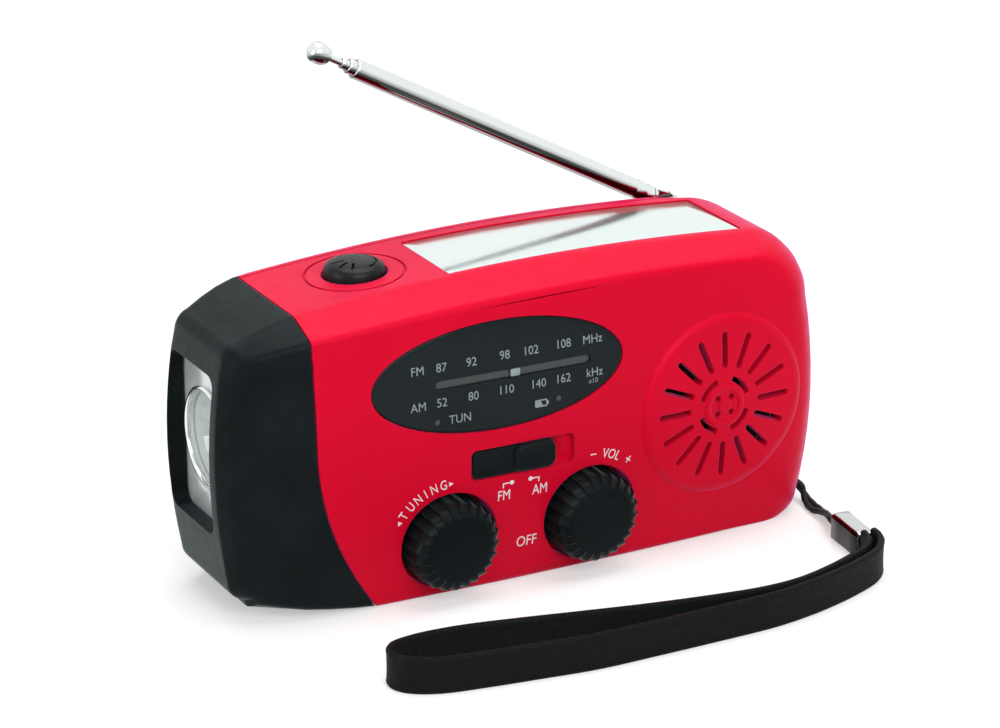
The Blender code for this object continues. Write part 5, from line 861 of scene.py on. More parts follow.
def belt_outline(inset, detail):
    """The case outline in X and Z at its widest, moved inwards by inset."""
    right = RIGHT_REACH - inset
    left = -LEFT_REACH + inset
    low_radius = LOW_RIGHT_RADIUS - inset / 2
    top_radius = TOP_RIGHT_RADIUS - inset
    left_top_radius = TOP_LEFT_RADIUS - inset / 2
    left_low_radius = LOW_LEFT_RADIUS - inset / 2
    ceiling = top_z(right - RIGHT_END_BULGE - top_radius) - inset
    shoulder = right - RIGHT_END_BULGE
    points = arc(shoulder - low_radius, low_radius + inset, low_radius, -90, 0, 3 * detail + 1)
    straight_low = low_radius + inset
    straight_high = ceiling - top_radius
    end_count = 3 * detail
    for i in range(1, end_count):
        share = i / end_count
        height = straight_low + (straight_high - straight_low) * share
        points.append((right - RIGHT_END_BULGE * (2 * share - 1) ** 2, height))
    points += arc(shoulder - top_radius, straight_high, top_radius, 0, 90, 6 * detail + 1)
    corner_x = left + bow(top_z(left) - inset - WAIST_Z, LEFT_END_RADIUS) + left_top_radius
    start_x = shoulder - top_radius
    top_count = 10 * detail
    for i in range(1, top_count + 1):
        x = start_x + (corner_x - start_x) * i / top_count
        points.append((x, top_z(x) - inset))
    corner_z = top_z(corner_x) - inset - left_top_radius
    points += arc(corner_x, corner_z, left_top_radius, 100, 180, 2 * detail + 1)
    foot_z = HEAD_LIFT + inset + left_low_radius
    left_count = 4 * detail
    for i in range(1, left_count + 1):
        z = corner_z + (foot_z - corner_z) * i / left_count
        points.append((left + bow(z - WAIST_Z, LEFT_END_RADIUS), z))
    foot_x = left + bow(foot_z - WAIST_Z, LEFT_END_RADIUS) + left_low_radius
    points += arc(foot_x, foot_z, left_low_radius, 190, 260, 2 * detail + 1)
    stop_x = shoulder - low_radius
    base_count = 8 * detail
    for i in range(base_count):
        x = foot_x + (stop_x - foot_x) * i / base_count
        points.append((x, inset + HEAD_LIFT * foot_share(x) ** 2))
    return points


def shoulder_point(x, z, step, front, inset):
    """Where a point of the belt goes at a share of the way to the edge of the front or rear face."""
    right = right_share(x)
    turn = step * math.pi / 2
    height_share = min(1.0, max(0.0, (z - WAIST_Z) / (HEIGHT / 2 - WALL)))
    low_share = min(1.0, max(0.0, 1 - z / (LOW_LEFT_RADIUS + HEAD_LIFT)))
    inner_x = x - RIGHT_ROUNDING * (1 - math.cos(turn)) * right
    inner_x += LEFT_ROUNDING * step * step * head_share(x)
    inner_z = z - SHOULDER_DROP * step * height_share ** 2
    inner_z += HEAD_FOOT_LIFT * step * step * low_share * foot_share(x)
    reach = FRONT_REACH if front else REAR_REACH
    belt = FRONT_BELT if front else REAR_BELT
    edge = face_depth(inner_x, inner_z, reach) - inset
    start = min(belt + (END_BELT - belt) * right, edge - BELT_MARGIN)
    depth_share = step * (1 - right) + math.sin(turn) * right
    depth = start + (edge - start) * depth_share
    return Vector((inner_x, -depth if front else depth, inner_z))


def face_point(corner, share, front, inset):
    x = corner.x * share
    z = WAIST_Z + (corner.z - WAIST_Z) * share
    depth = face_depth(x, z, FRONT_REACH if front else REAR_REACH) - inset
    return Vector((x, -depth if front else depth, z))


def toward(start, stop, distance):
    return start.lerp(stop, min(0.9, distance / max((stop - start).length, 1e-6)))


def softened(before, corner, after):
    """Rings that turn a corner in a smooth curve instead of a crease."""
    rings = []
    for t in (0.0, 0.25, 0.5, 0.75, 1.0):
        rings.append([
            a * (1 - t) ** 2 + c * 2 * t * (1 - t) + b * t ** 2 for a, c, b in zip(before, corner, after)
        ])
    return rings


def case_form(name, inset, detail, steps, shares, crease=0.0):
    """The closed pillow form of the whole case, with softened creases between its facets."""
    outline = belt_outline(inset, detail)
    rings = []
    for front in (True, False):
        belt, *middle, edge = [
            [shoulder_point(x, z, step, front, inset) for x, z in outline] for step in steps
        ]
        faces = [[face_point(corner, share, front, inset) for corner in edge] for share in shares]
        half = [belt] + middle + [edge]
        if crease:
            low = [place + Vector((0, crease if front else -crease, 0)) for place in belt]
            high = [toward(c, d, crease) for c, d in zip(belt, middle[0])]
            near = [toward(c, d, crease) for c, d in zip(edge, middle[-1])]
            flat = [face_point(c, 1 - crease / max((c - faces[-1][i]).length, crease), front, inset)
                    for i, c in enumerate(edge)]
            half = softened(low, belt, high) + middle + softened(near, edge, flat)
        half += faces
        half.append(face_point(Vector((0, 0, WAIST_Z)), 0, front, inset))
        rings = half[::-1] if front else rings + half
    return lofted(name, rings, None)


def seam_outline(offset, outer_x):
    """The torch head's side of the seam, in X and Z, out to a far edge."""
    points = []
    count = 24
    for i in range(count + 1):
        z = -OVERRUN + (SEAM_BEND_Z + OVERRUN) * i / count
        sweep = (SEAM_TOP_X - SEAM_FOOT_X) * (1 - z / SEAM_BEND_Z) ** 2
        points.append((-SEAM_TOP_X + sweep + offset, z))
    points.append((-SEAM_TOP_X + offset, HEIGHT + OVERRUN))
    points.append((outer_x, HEIGHT + OVERRUN))
    points.append((outer_x, -OVERRUN))
    return points


def on_front(outline, centre, offset, share=1.0):
    """An outline about a centre, laid on the front face at an offset behind it."""
    ring = []
    for u, v in outline:
        x = centre[0] + u * share
        z = centre[1] + v * share
        ring.append(Vector((x, front_y(x, z) + offset, z)))
    return ring


def front_plate(name, centre, outline, rows, finish=None, sharp_deg=35):
    """A closed plate that follows the front face, as rows of an outline's share and an offset behind it."""
    rings = []
    for share, offset in rows:
        if share <= 0:
            rings.append(Vector((centre[0], front_y(*centre) + offset, centre[1])))
        else:
            rings.append(on_front(outline, centre, offset, share))
    return lofted(name, rings, finish, sharp_deg)


def on_top(outline, centre, offset):
    """An outline about a centre in X and Y, laid on the arched top at an offset above it."""
    ring = []
    for u, v in outline:
        x = centre[0] + u
        ring.append(Vector((x, centre[1] + v, top_z(x) + offset)))
    return ring


def arched_slab(name, left, right, outline_y, high_offset, low_offset, finish=None):
    xs = [left + (right - left) * i / TOP_SPANS for i in range(TOP_SPANS + 1)]
    outline = [(x, top_z(x) + low_offset) for x in xs]
    outline += [(x, top_z(x) + high_offset) for x in reversed(xs)]
    return prism(name, outline, "Y", outline_y[0], outline_y[1], finish)


# Wrist strap: cord, clip and woven band
def from_bar(point):
    return Vector([foot + value * MM for foot, value in zip(STRAP_BAR, (*point, 0.0)[:3])])


def smooth_route(points, steps):
    route = []
    last = len(points) - 1
    for i in range(last):
        before = points[max(i - 1, 0)]
        start = points[i]
        stop = points[i + 1]
        after = points[min(i + 2, last)]
        for j in range(steps):
            t = j / steps
            blend = []
            for a, b, c, d in zip(before, start, stop, after):
                value = 2 * b + (c - a) * t + (2 * a - 5 * b + 4 * c - d) * t ** 2
                value += (3 * b - a - 3 * c + d) * t ** 3
                blend.append(value / 2)
            route.append(from_bar(blend))
    route.append(from_bar(points[last]))
    return route


def make_strap_cord():
    """A laid cord of two strands: a round tube whose surface bulges in a slow double spiral."""
    route = smooth_route(CORD_POINTS, 10)
    sides = 20
    lay = 2.6 * MM
    rings = []
    side = Vector((0, 0, 1))
    gone = 0.0
    for i, place in enumerate(route):
        along = (route[min(i + 1, len(route) - 1)] - route[max(i - 1, 0)]).normalized()
        side = (side - along * side.dot(along)).normalized()
        other = along.cross(side)
        if i:
            gone += (place - route[i - 1]).length
        ring = []
        for k in range(sides):
            angle = math.tau * k / sides
            bulge = abs(math.cos(angle - math.tau * gone / lay / 2))
            radius = CORD_RADIUS * (0.84 + 0.16 * bulge)
            ring.append(place + side * math.cos(angle) * radius + other * math.sin(angle) * radius)
        rings.append(ring)
    cord = lofted("laid_cord", rings, TWISTED, 80)
    put(cord, "case", "strap_black", "strap_cord")
    return cord, route


def clip_frame():
    """Where the clip starts, which way it points and which way lies across it."""
    front_end = (from_bar(CORD_POINTS[0]) + from_bar(CORD_POINTS[-1])) / 2
    rear_end = (from_bar(BAND_POINTS[0]) + from_bar(BAND_POINTS[-1])) / 2
    along = Vector((rear_end.x - front_end.x, rear_end.y - front_end.y, 0)).normalized()
    start = Vector((front_end.x, front_end.y, 0)) + along * CLIP_GAP
    return start, along, Vector((along.y, -along.x, 0))


def make_clip():
    """A folded sheet metal sleeve: rounded corners and open mouths."""
    start, along, side = clip_frame()
    middle = CLIP_FOOT_Z + CLIP_HEIGHT / 2
    outer = rounded_box(0, middle, CLIP_THICKNESS, CLIP_HEIGHT, 0.9 * MM, 7)
    inner = rounded_box(0, middle, CLIP_THICKNESS - 2 * CLIP_WALL, CLIP_HEIGHT - 2 * CLIP_WALL, 0.5 * MM, 7)
    lip = 0.25 * MM
    depth = 1.6 * MM

    def ring(outline, gone, scale=1.0):
        place = start + along * gone
        return [place + side * u * scale + Vector((0, 0, middle + (v - middle) * scale)) for u, v in outline]

    rings = [
        ring(inner, depth), ring(inner, lip), ring(outer, 0, 0.95), ring(outer, lip),
        ring(outer, CLIP_LENGTH * 0.3, 0.985), ring(outer, CLIP_LENGTH * 0.5, 0.97),
        ring(outer, CLIP_LENGTH * 0.7, 0.985), ring(outer, CLIP_LENGTH - lip), ring(outer, CLIP_LENGTH, 0.95),
        ring(inner, CLIP_LENGTH - lip), ring(inner, CLIP_LENGTH - depth),
    ]
    clip = lofted("crimp_sleeve", rings, CRIMP, 50)
    put(clip, "case", "crimp_metal", "strap_clip")
    return clip


def make_band():
    """Flat webbing standing on its edge, with rounded selvedges; UVs run along and across it in metres."""
    route = smooth_route(BAND_POINTS, 8)
    half = BAND_THICKNESS / 2
    flank = [(half * out, half * up) for out, up in BAND_EDGE]
    flank += [(half * 0.8, BAND_WIDTH / 2)] + [(u, BAND_WIDTH - v) for u, v in reversed(flank)]
    section = flank + [(-u, v) for u, v in reversed(flank)]
    section = section[-1:] + section[:-1]
    girth = [0.0]
    for (u, v), (p, q) in zip(section, section[1:] + section[:1]):
        girth.append(girth[-1] + math.hypot(p - u, q - v))
    bm = bmesh.new()
    uv = bm.loops.layers.uv.new("along")
    rings = []
    gones = [0.0]
    for i, place in enumerate(route):
        along = route[min(i + 1, len(route) - 1)] - route[max(i - 1, 0)]
        along = Vector((along.x, along.y, 0)).normalized()
        side = Vector((along.y, -along.x, 0))
        if i:
            gones.append(gones[-1] + (place - route[i - 1]).length)
        foot = Vector((place.x, place.y, 0))
        rings.append([bm.verts.new(foot + side * u + Vector((0, 0, v))) for u, v in section])
    count = len(section)
    for i in range(len(rings) - 1):
        for k in range(count):
            corners = ((i, k), (i, k + 1), (i + 1, k + 1), (i + 1, k))
            face = bm.faces.new([rings[row][column % count] for row, column in corners])
            for loop, (row, column) in zip(face.loops, corners):
                loop[uv].uv = (gones[row], girth[column])
    bm.faces.new(rings[0])
    bm.faces.new(rings[-1])
    band = to_piece(bm, "woven_band", WOVEN, 50)
    put(band, "case", "strap_black", "strap_band")
    return band, [Vector((place.x, place.y, BAND_WIDTH / 2)) for place in route]


def make_strap():
    cord, cord_route = make_strap_cord()
    clip = make_clip()
    band, band_route = make_band()


# Case shells
def put(thing, body, slot, *nodes):
    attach(thing, body)
    if nodes:
        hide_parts(*nodes)
    return thing


def make_space():
    """The hollow of the case, less the walls round the wells, the window and the channel."""
    space = case_form("hollow", WALL, 1, HOLLOW_STEPS, HOLLOW_SHARES)
    walls = []
    for name, place in WELLS:
        radius = WELL_RADIUS + WELL_WALL
        front = -FRONT_REACH - OVERRUN
        walls.append(cylinder(name + "_wall", radius, place, "Y", front, WELL_FLOOR_Y + WELL_WALL))
    walls.append(arched_slab(
        "panel_bed", PANEL_LEFT_X - WALL, PANEL_RIGHT_X + WALL,
        (-PANEL_HALF_WIDTH - WALL, PANEL_HALF_WIDTH + 1 * MM), OVERRUN,
        -PANEL_SINK - PANEL_THICKNESS - PANEL_BED,
    ))
    walls.append(box("channel_wall", *CHANNEL_WALL))
    sides = (WINDOW_WIDTH + 2 * WINDOW_WALL, WINDOW_HEIGHT + 2 * WINDOW_WALL)
    tunnel = rounded_box(*WINDOW, *sides, WINDOW_CORNER + 1.2 * MM)
    walls.append(prism("window_wall", tunnel, "X", -FAR, BOARD_X))
    walls.append(box("pocket_wall", *POCKET_WALL))
    return cut(space, joined("inner_walls", walls), overlapping=True)


def grille_cutters():
    tools = []
    start = -FRONT_REACH - OVERRUN
    stop = -FRONT_REACH + WALL + OVERRUN
    half = SLOT_HALF_WIDTH
    slot = arc(SLOT_STOP - half, 0, half, -90, 90, 9) + arc(SLOT_START + half, 0, half, 90, 270, 9)
    for i in range(GRILLE_SLOTS):
        outline = [spun(SPEAKER, u, v, math.tau * i / GRILLE_SLOTS) for u, v in slot]
        tools.append(prism(f"slot_{i}", outline, "Y", start, stop))
    for i in range(HUB_HOLES):
        middle = 45 + 360 / HUB_HOLES * i
        ring = arc(*SPEAKER, HUB_SLOT_OUTER, middle - HUB_SLOT_HALF_DEG, middle + HUB_SLOT_HALF_DEG, 14)
        ring += arc(*SPEAKER, HUB_SLOT_INNER, middle + HUB_SLOT_HALF_DEG, middle - HUB_SLOT_HALF_DEG, 14)
        tools.append(prism(f"hub_slot_{i}", ring, "Y", start, stop))
        place = spun(SPEAKER, HUB_HOLE_CIRCLE, 0, math.radians(middle))
        tools.append(cylinder(f"hub_hole_{i}", HUB_HOLE_RADIUS, place, "Y", start, stop, None, 16))
    return tools


def hub_ring(name, inner, outer):
    """A low rounded ring, or a button where its inner radius is nothing, on the grille's middle."""
    rise = GRILLE_RISE + 0.3 * MM
    shape = ellipse(outer, outer, 64)
    if not inner:
        rows = ((0, 0), (1, 0), (1, -rise * 0.85), (0.85, -rise), (0, -rise))
        return front_plate(name, SPEAKER, shape, rows)
    share = inner / outer
    rounding = (1 - share) * 0.2
    low = -rise * 0.87
    rows = ((1, 0), (1, low), (1 - rounding, -rise), (share + rounding, -rise), (share, low), (share, 0))
    rings = [on_front(shape, SPEAKER, offset, part) for part, offset in rows]
    return closed_loft(name, rings + rings[:1], None, 35)


def make_front(space_data, form_data):
    shell = piece_from(form_data, "case_front", RED)
    rows = [(share, offset * MM) for share, offset in GRILLE_ROWS]
    disc = ellipse(GRILLE_RADIUS, GRILLE_RADIUS, 96)
    boolean(shell, front_plate("grille_disc", SPEAKER, disc, rows), "UNION")
    for ring in HUB_RINGS:
        boolean(shell, hub_ring(*ring), "UNION")
    cut(shell, piece_from(space_data, "front_hollow", None))
    tools = [box("rear_half", (-FAR, PARTING_Y - SEAM_GAP / 2, -FAR), (FAR, FAR, FAR))]
    tools.append(prism("head_side", seam_outline(SEAM_GAP / 2, -FAR), "Y", -FAR, FAR))
    front = -FRONT_REACH - OVERRUN
    floor = WELL_FLOOR_Y
    for name, place in WELLS:
        profile = [(0, front), (WELL_RADIUS, front), (WELL_RADIUS, floor - WELL_BEVEL)]
        profile += [(WELL_RADIUS - WELL_BEVEL, floor), (WELL_HOLE, floor), (WELL_HOLE, floor + OVERRUN)]
        profile.append((0, floor + OVERRUN))
        tools.append(turned(name + "_well", profile, place, "Y", None, 96))
    opening = centred(DIAL, ellipse(DIAL_HALF_LENGTH, DIAL_HALF_HEIGHT, 128))
    tools.append(prism("dial_opening", opening, "Y", front, -FRONT_REACH + WALL + OVERRUN))
    middle_x = BAND_LEFT_X + BAND_LENGTH / 2
    recess = rounded_box(middle_x, BAND_Z, BAND_LENGTH, BAND_HEIGHT, BAND_CORNER, 8)
    tools.append(prism("band_recess", recess, "Y", front, front_y(middle_x, BAND_Z) + BAND_RECESS))
    stem = rounded_box(middle_x, BAND_Z, STEM_WIDTH + STEM_TRAVEL, STEM_WIDTH + 2 * SEAM_GAP, 0.3 * MM, 3)
    tools.append(prism("band_stem_slot", stem, "Y", front, -FRONT_REACH + WALL + OVERRUN))
    tools += grille_cutters()
    edge = PANEL_HALF_WIDTH + SEAM_GAP
    tools.append(arched_slab(
        "panel_recess", PANEL_LEFT_X - SEAM_GAP, PANEL_RIGHT_X + SEAM_GAP, (-edge, edge), OVERRUN,
        -PANEL_SINK - PANEL_THICKNESS - SEAM_GAP,
    ))
    hole_radius = BUTTON_RADIUS + BUTTON_GAP
    tools.append(cylinder("button_hole", hole_radius, BUTTON, "Z", BUTTON_FLOOR_Z, FAR, None, 64))
    groove = [on_top(ellipse(radius, radius, 72), BUTTON, offset) for radius, offset in GROOVE_RINGS]
    tools.append(closed_loft("button_groove", groove + groove[:1], None, 35))
    tools.append(box("strap_pocket", *POCKET))
    cut(shell, joined("front_cuts", tools), overlapping=True)
    return put(weighted(shell), "case", "red_shell", "front_shell")


def piece_from(data, name, finish):
    thing = show(name, data.copy())
    thing.data.materials.clear()
    if finish:
        thing.data.materials.append(finish)
    return thing


def make_rear(space_data, form_data):
    shell = piece_from(form_data, "case_rear", RED)
    cut(shell, piece_from(space_data, "rear_hollow", None))
    tools = [box("front_half", (-FAR, -FAR, -FAR), (FAR, PARTING_Y + SEAM_GAP / 2, FAR))]
    tools.append(prism("rear_head_side", seam_outline(SEAM_GAP / 2, -FAR), "Y", -FAR, FAR))
    tools.append(box("antenna_channel", *CHANNEL))
    tools.append(cylinder("post_hole", POST_BORE, ANTENNA[:2], "Z", *POST_REACH))
    tools.append(cylinder("crank_hole", BEARING_BORE * MM, CRANK, "Y", BACK_START, FAR))
    for name, x, z in SCREWS:
        seat = rear_y(x, z) - SCREW_SINK - SCREW_HEAD - SEAM_GAP
        shank, rim = SCREW_HOLE_RADII
        profile = [(0, 0), (shank, 0), (shank, seat), (rim, seat), (rim, FAR), (0, FAR)]
        tools.append(turned(f"screw_hole_{name}", profile, (x, z), "Y", None, 40))
    seat_y = rear_y(SOCKET[0] + FLAP_HALF_LENGTH, SOCKET[1]) - FLAP_SINK
    low, high = [(SOCKET[0] + way * SOCKET_HALF[0], SOCKET[1] + way * SOCKET_HALF[1]) for way in (-1, 1)]
    tools.append(box("socket_hole", (low[0], BACK_START, low[1]), (high[0], FAR, high[1])))
    room = (2 * FLAP_HALF_LENGTH + 2 * SEAM_GAP, 2 * FLAP_HALF_HEIGHT + 2 * SEAM_GAP)
    seat = rounded_box(*SOCKET, *room, 1.2 * MM, 6)
    tools.append(prism("flap_seat", seat, "Y", seat_y, FAR))
    cut(shell, joined("rear_cuts", tools), overlapping=True)
    rows = rows_at(BOSS_START, (BEARING_BORE, 0), (BOSS_RADIUS, 0))
    rows += rows_at(rear_y(*CRANK), (BOSS_RADIUS, 0.25), (BOSS_RADIUS - 0.5, 0.45), (BEARING_BORE, 0.45))
    put(turned("crank_boss", rows, CRANK, "Y", RED, 72), "case", "red_shell")
    return put(weighted(shell), "case", "red_shell", "rear_cover")


def make_head(space_data, form_data):
    shell = piece_from(form_data, "head_cap", BLACK)
    cut(shell, piece_from(space_data, "head_hollow", None))
    tools = [prism("body_side", seam_outline(-SEAM_GAP / 2, FAR), "Y", -FAR, FAR)]
    opening = rounded_box(*WINDOW, WINDOW_WIDTH, WINDOW_HEIGHT, WINDOW_CORNER, 8)
    tools.append(prism("window", opening, "X", -FAR, 0))
    seat = rounded_box(*WINDOW, WINDOW_WIDTH + WINDOW_WALL, WINDOW_HEIGHT + WINDOW_WALL, WINDOW_CORNER, 8)
    tools.append(prism("lens_seat", seat, "X", LENS_FRONT_X - 0.3 * MM, 0))
    cut(shell, joined("head_cuts", tools), overlapping=True)
    return put(weighted(shell), "case", "black_shell", "torch_head")


# Torch
def make_torch():
    back = LENS_FRONT_X + LENS_THICKNESS
    dome = []
    for i in range(9):
        share = i / 8
        dome.append((LENS_RADIUS * share, LENS_FRONT_X - LENS_BULGE * (1 - share * share)))
    lens = turned("torch_dome", dome + [(LENS_RADIUS, back), (0, back)], WINDOW, "X", CLEAR, 72)
    put(lens, "case", "clear_plastic", "torch_lens")
    sides = (WINDOW_WIDTH + PLATE_HIDDEN, WINDOW_HEIGHT + PLATE_HIDDEN)
    outline = rounded_box(*WINDOW, *sides, WINDOW_CORNER, 8)
    plate = prism("lens_surround", outline, "X", LENS_FRONT_X, back, SILVER_PAINT)
    hole = centred(WINDOW, ellipse(LENS_RADIUS + LENS_FIT, LENS_RADIUS + LENS_FIT, 72))
    cut(plate, prism("surround_hole", hole, "X", -FAR, 0))
    put(bevelled(plate, 0.15 * MM, 2), "case", "silver")
    rows = [(LENS_RADIUS + 0.1 * MM, back), (LENS_RADIUS + 0.9 * MM, back)]
    rows += [(LENS_RADIUS + out * MM, LENS_FRONT_X - rise * MM) for out, rise in LENS_RIM_ROWS]
    put(turned("lens_ring", rows, WINDOW, "X", SILVER, 72, 50), "case", "silver")
    front = LENS_FRONT_X + LENS_SEAT
    rim = LENS_RADIUS + BOWL_FLANGE
    bowl = [(0, BOARD_X), (rim, BOARD_X), (rim, front)]
    for i in range(6):
        share = i / 5
        radius = LENS_RADIUS - (LENS_RADIUS - BOWL_FLOOR_RADIUS) * share ** BOWL_CURVE
        bowl.append((radius, front + (BOWL_FLOOR_X - front) * share))
    bowl.append((0, BOWL_FLOOR_X))
    reflector = turned("torch_bowl", bowl, WINDOW, "X", SILVER_PAINT, 18, 4)
    put(reflector, "case", "silver", "torch_reflector")
    for i in range(3):
        place = spun(WINDOW, LED_CIRCLE, 0, math.radians(90 + 120 * i))
        tip = BOARD_X - LED_LENGTH
        profile = rows_at(BOARD_X, *LED_FOOT_ROWS)
        for k in range(9):
            turn = math.radians(90 * k / 8)
            profile.append((LED_RADIUS * math.cos(turn), tip + LED_RADIUS - LED_RADIUS * math.sin(turn)))
        bulb = turned(f"led_bulb_{i + 1}", profile, place, "X", LED, 40)
        put(bulb, "case", "led_clear", f"torch_led_{i + 1}")


def make_button():
    base = top_z(BUTTON[0])
    top = base + BUTTON_RISE
    low = base - BUTTON_SKIRT
    rows = [(0, low), (BUTTON_RADIUS, low)]
    rows += [(BUTTON_RADIUS * share, base + BUTTON_RISE * rise) for share, rise in reversed(BUTTON_PROFILE)]
    dome = turned("button_dome", rows, BUTTON, "Z", RUBBER, 72, 50)
    floor = base + BUTTON_RISE * MARK_FLOOR_SHARE
    tools = []
    for i, angle_deg in enumerate(RAY_ANGLES_DEG):
        ray = rounded_box(3.3 * MM, 0, 2.6 * MM, 0.5 * MM, 0.24 * MM, 4)
        outline = [spun(BUTTON, u, v, math.radians(angle_deg)) for u, v in ray]
        tools.append(prism(f"ray_{i}", outline, "Z", floor, top + OVERRUN))
    moon = arc(*BUTTON, MOON_OUTER, *MOON_DEG, 30) + arc(*BUTTON, MOON_INNER, *reversed(MOON_DEG), 30)
    tools.append(prism("crescent", moon, "Z", floor, top + OVERRUN))
    cut(dome, joined("button_marks", tools), overlapping=True)
    put(dome, "button", "black_rubber", "torch_button")
    bore = BUTTON_RADIUS - 0.2 * MM
    rows = [(bore, base - 2.7 * MM)] + rows_at(base, (7.2, -2.7), (7.2, -3.6)) + [(bore, base - 3.6 * MM)]
    put(turned("button_flange", rows, BUTTON, "Z", RUBBER, 48), "button", "black_rubber")
    body = BUTTON_RADIUS - 0.1 * MM
    rows = [(0, base - 1.8 * MM), (body, base - 1.8 * MM), (body, base - 3.6 * MM)]
    rows += rows_at(base, (1.6, -3.6), (1.6, -5.5), (0, -5.5))
    put(turned("button_stem", rows, BUTTON, "Z", RUBBER, 48), "button", "black_rubber")


def make_panel():
    slab = arched_slab(
        "solar_plate", PANEL_LEFT_X, PANEL_RIGHT_X, (-PANEL_HALF_WIDTH, PANEL_HALF_WIDTH), -PANEL_SINK,
        -PANEL_SINK - PANEL_THICKNESS, SOLAR,
    )
    put(bevelled(slab, 0.12 * MM, 2), "case", "solar_glass", "solar_panel")


# Dial
def make_dial():
    outline = ellipse(DIAL_HALF_LENGTH - DIAL_FIT, DIAL_HALF_HEIGHT - DIAL_FIT, 128)
    inner = (DIAL_HALF_HEIGHT - DIAL_RIM) / DIAL_HALF_HEIGHT
    rows = [(share, offset * MM) for share, offset in DIAL_ROWS]
    rows += [(share, 0.0) for share in (inner, 0.75, 0.5, 0.25, 0)]
    face = front_plate("dial_face", DIAL, outline, rows, DIAL_GLOSS, 50)
    slot = rounded_box(SLOT_X, DIAL[1], SLOT_LENGTH, SLOT_HEIGHT, SLOT_HEIGHT / 2 - 0.01 * MM, 8)
    tool = prism("dial_slot", slot, "Y", -FRONT_REACH - OVERRUN, -FRONT_REACH + SLOT_DEPTH)
    cut(face, tool)
    put(weighted(face), "case", "dial_black", "dial_window")
    size = (SLOT_LENGTH - 2 * TRACK_FIT, SLOT_HEIGHT - 2 * TRACK_FIT)
    track = rounded_box(0, 0, *size, SLOT_HEIGHT / 2 - 0.04 * MM, 8)
    rows = [(0, TRACK_BACK), (1, TRACK_BACK), (1, TRACK_FACE), (0, TRACK_FACE)]
    floor = front_plate("dial_track", (SLOT_X, DIAL[1]), track, rows, TRACK)
    put(floor, "case", "dial_black")
    front = front_y(POINTER_X, DIAL[1]) + POINTER_SINK
    tip = rounded_box(POINTER_X, DIAL[1], POINTER_WIDTH, POINTER_HEIGHT, 0.25 * MM, 5)
    cap = prism("pointer_tip", tip, "Y", front, front + POINTER_THICKNESS, POINTER)
    put(bevelled(cap, 0.08 * MM, 2), "pointer", "white_plastic")


def letters(name, text, size, spot, finish, lift=0.03 * MM, turn_deg=0.0, squeeze=1.0):
    """Raised print laid on the front face: text whose middle is at a spot in X and Z."""
    curve = bpy.data.curves.new(name, "FONT")
    curve.body = text
    curve.size = size
    curve.align_x = "CENTER"
    curve.align_y = "CENTER"
    curve.resolution_u = 4
    curve.extrude = lift
    thing = show(name, curve)
    mesh = shown_mesh(thing)
    bpy.data.objects.remove(thing)
    lay_on_front(mesh, spot, turn_deg, squeeze)
    mesh.materials.clear()
    mesh.materials.append(finish)
    return put(show(name, mesh), "case", "white_plastic")


def lay_on_front(mesh, spot, turn_deg, squeeze=1.0):
    for vert in mesh.vertices:
        x, z = spun(spot, vert.co.x * squeeze, vert.co.y, math.radians(turn_deg))
        vert.co = (x, front_y(x, z) - vert.co.z, z)


def mark(name, outline, finish, lift=PRINT_LIFT):
    """A raised printed shape given as an outline in X and Z on the front face."""
    rings = [[Vector((x, front_y(x, z) + side * lift, z)) for x, z in outline] for side in (1, -1)]
    return put(lofted(name, rings, finish), "case", "white_plastic")


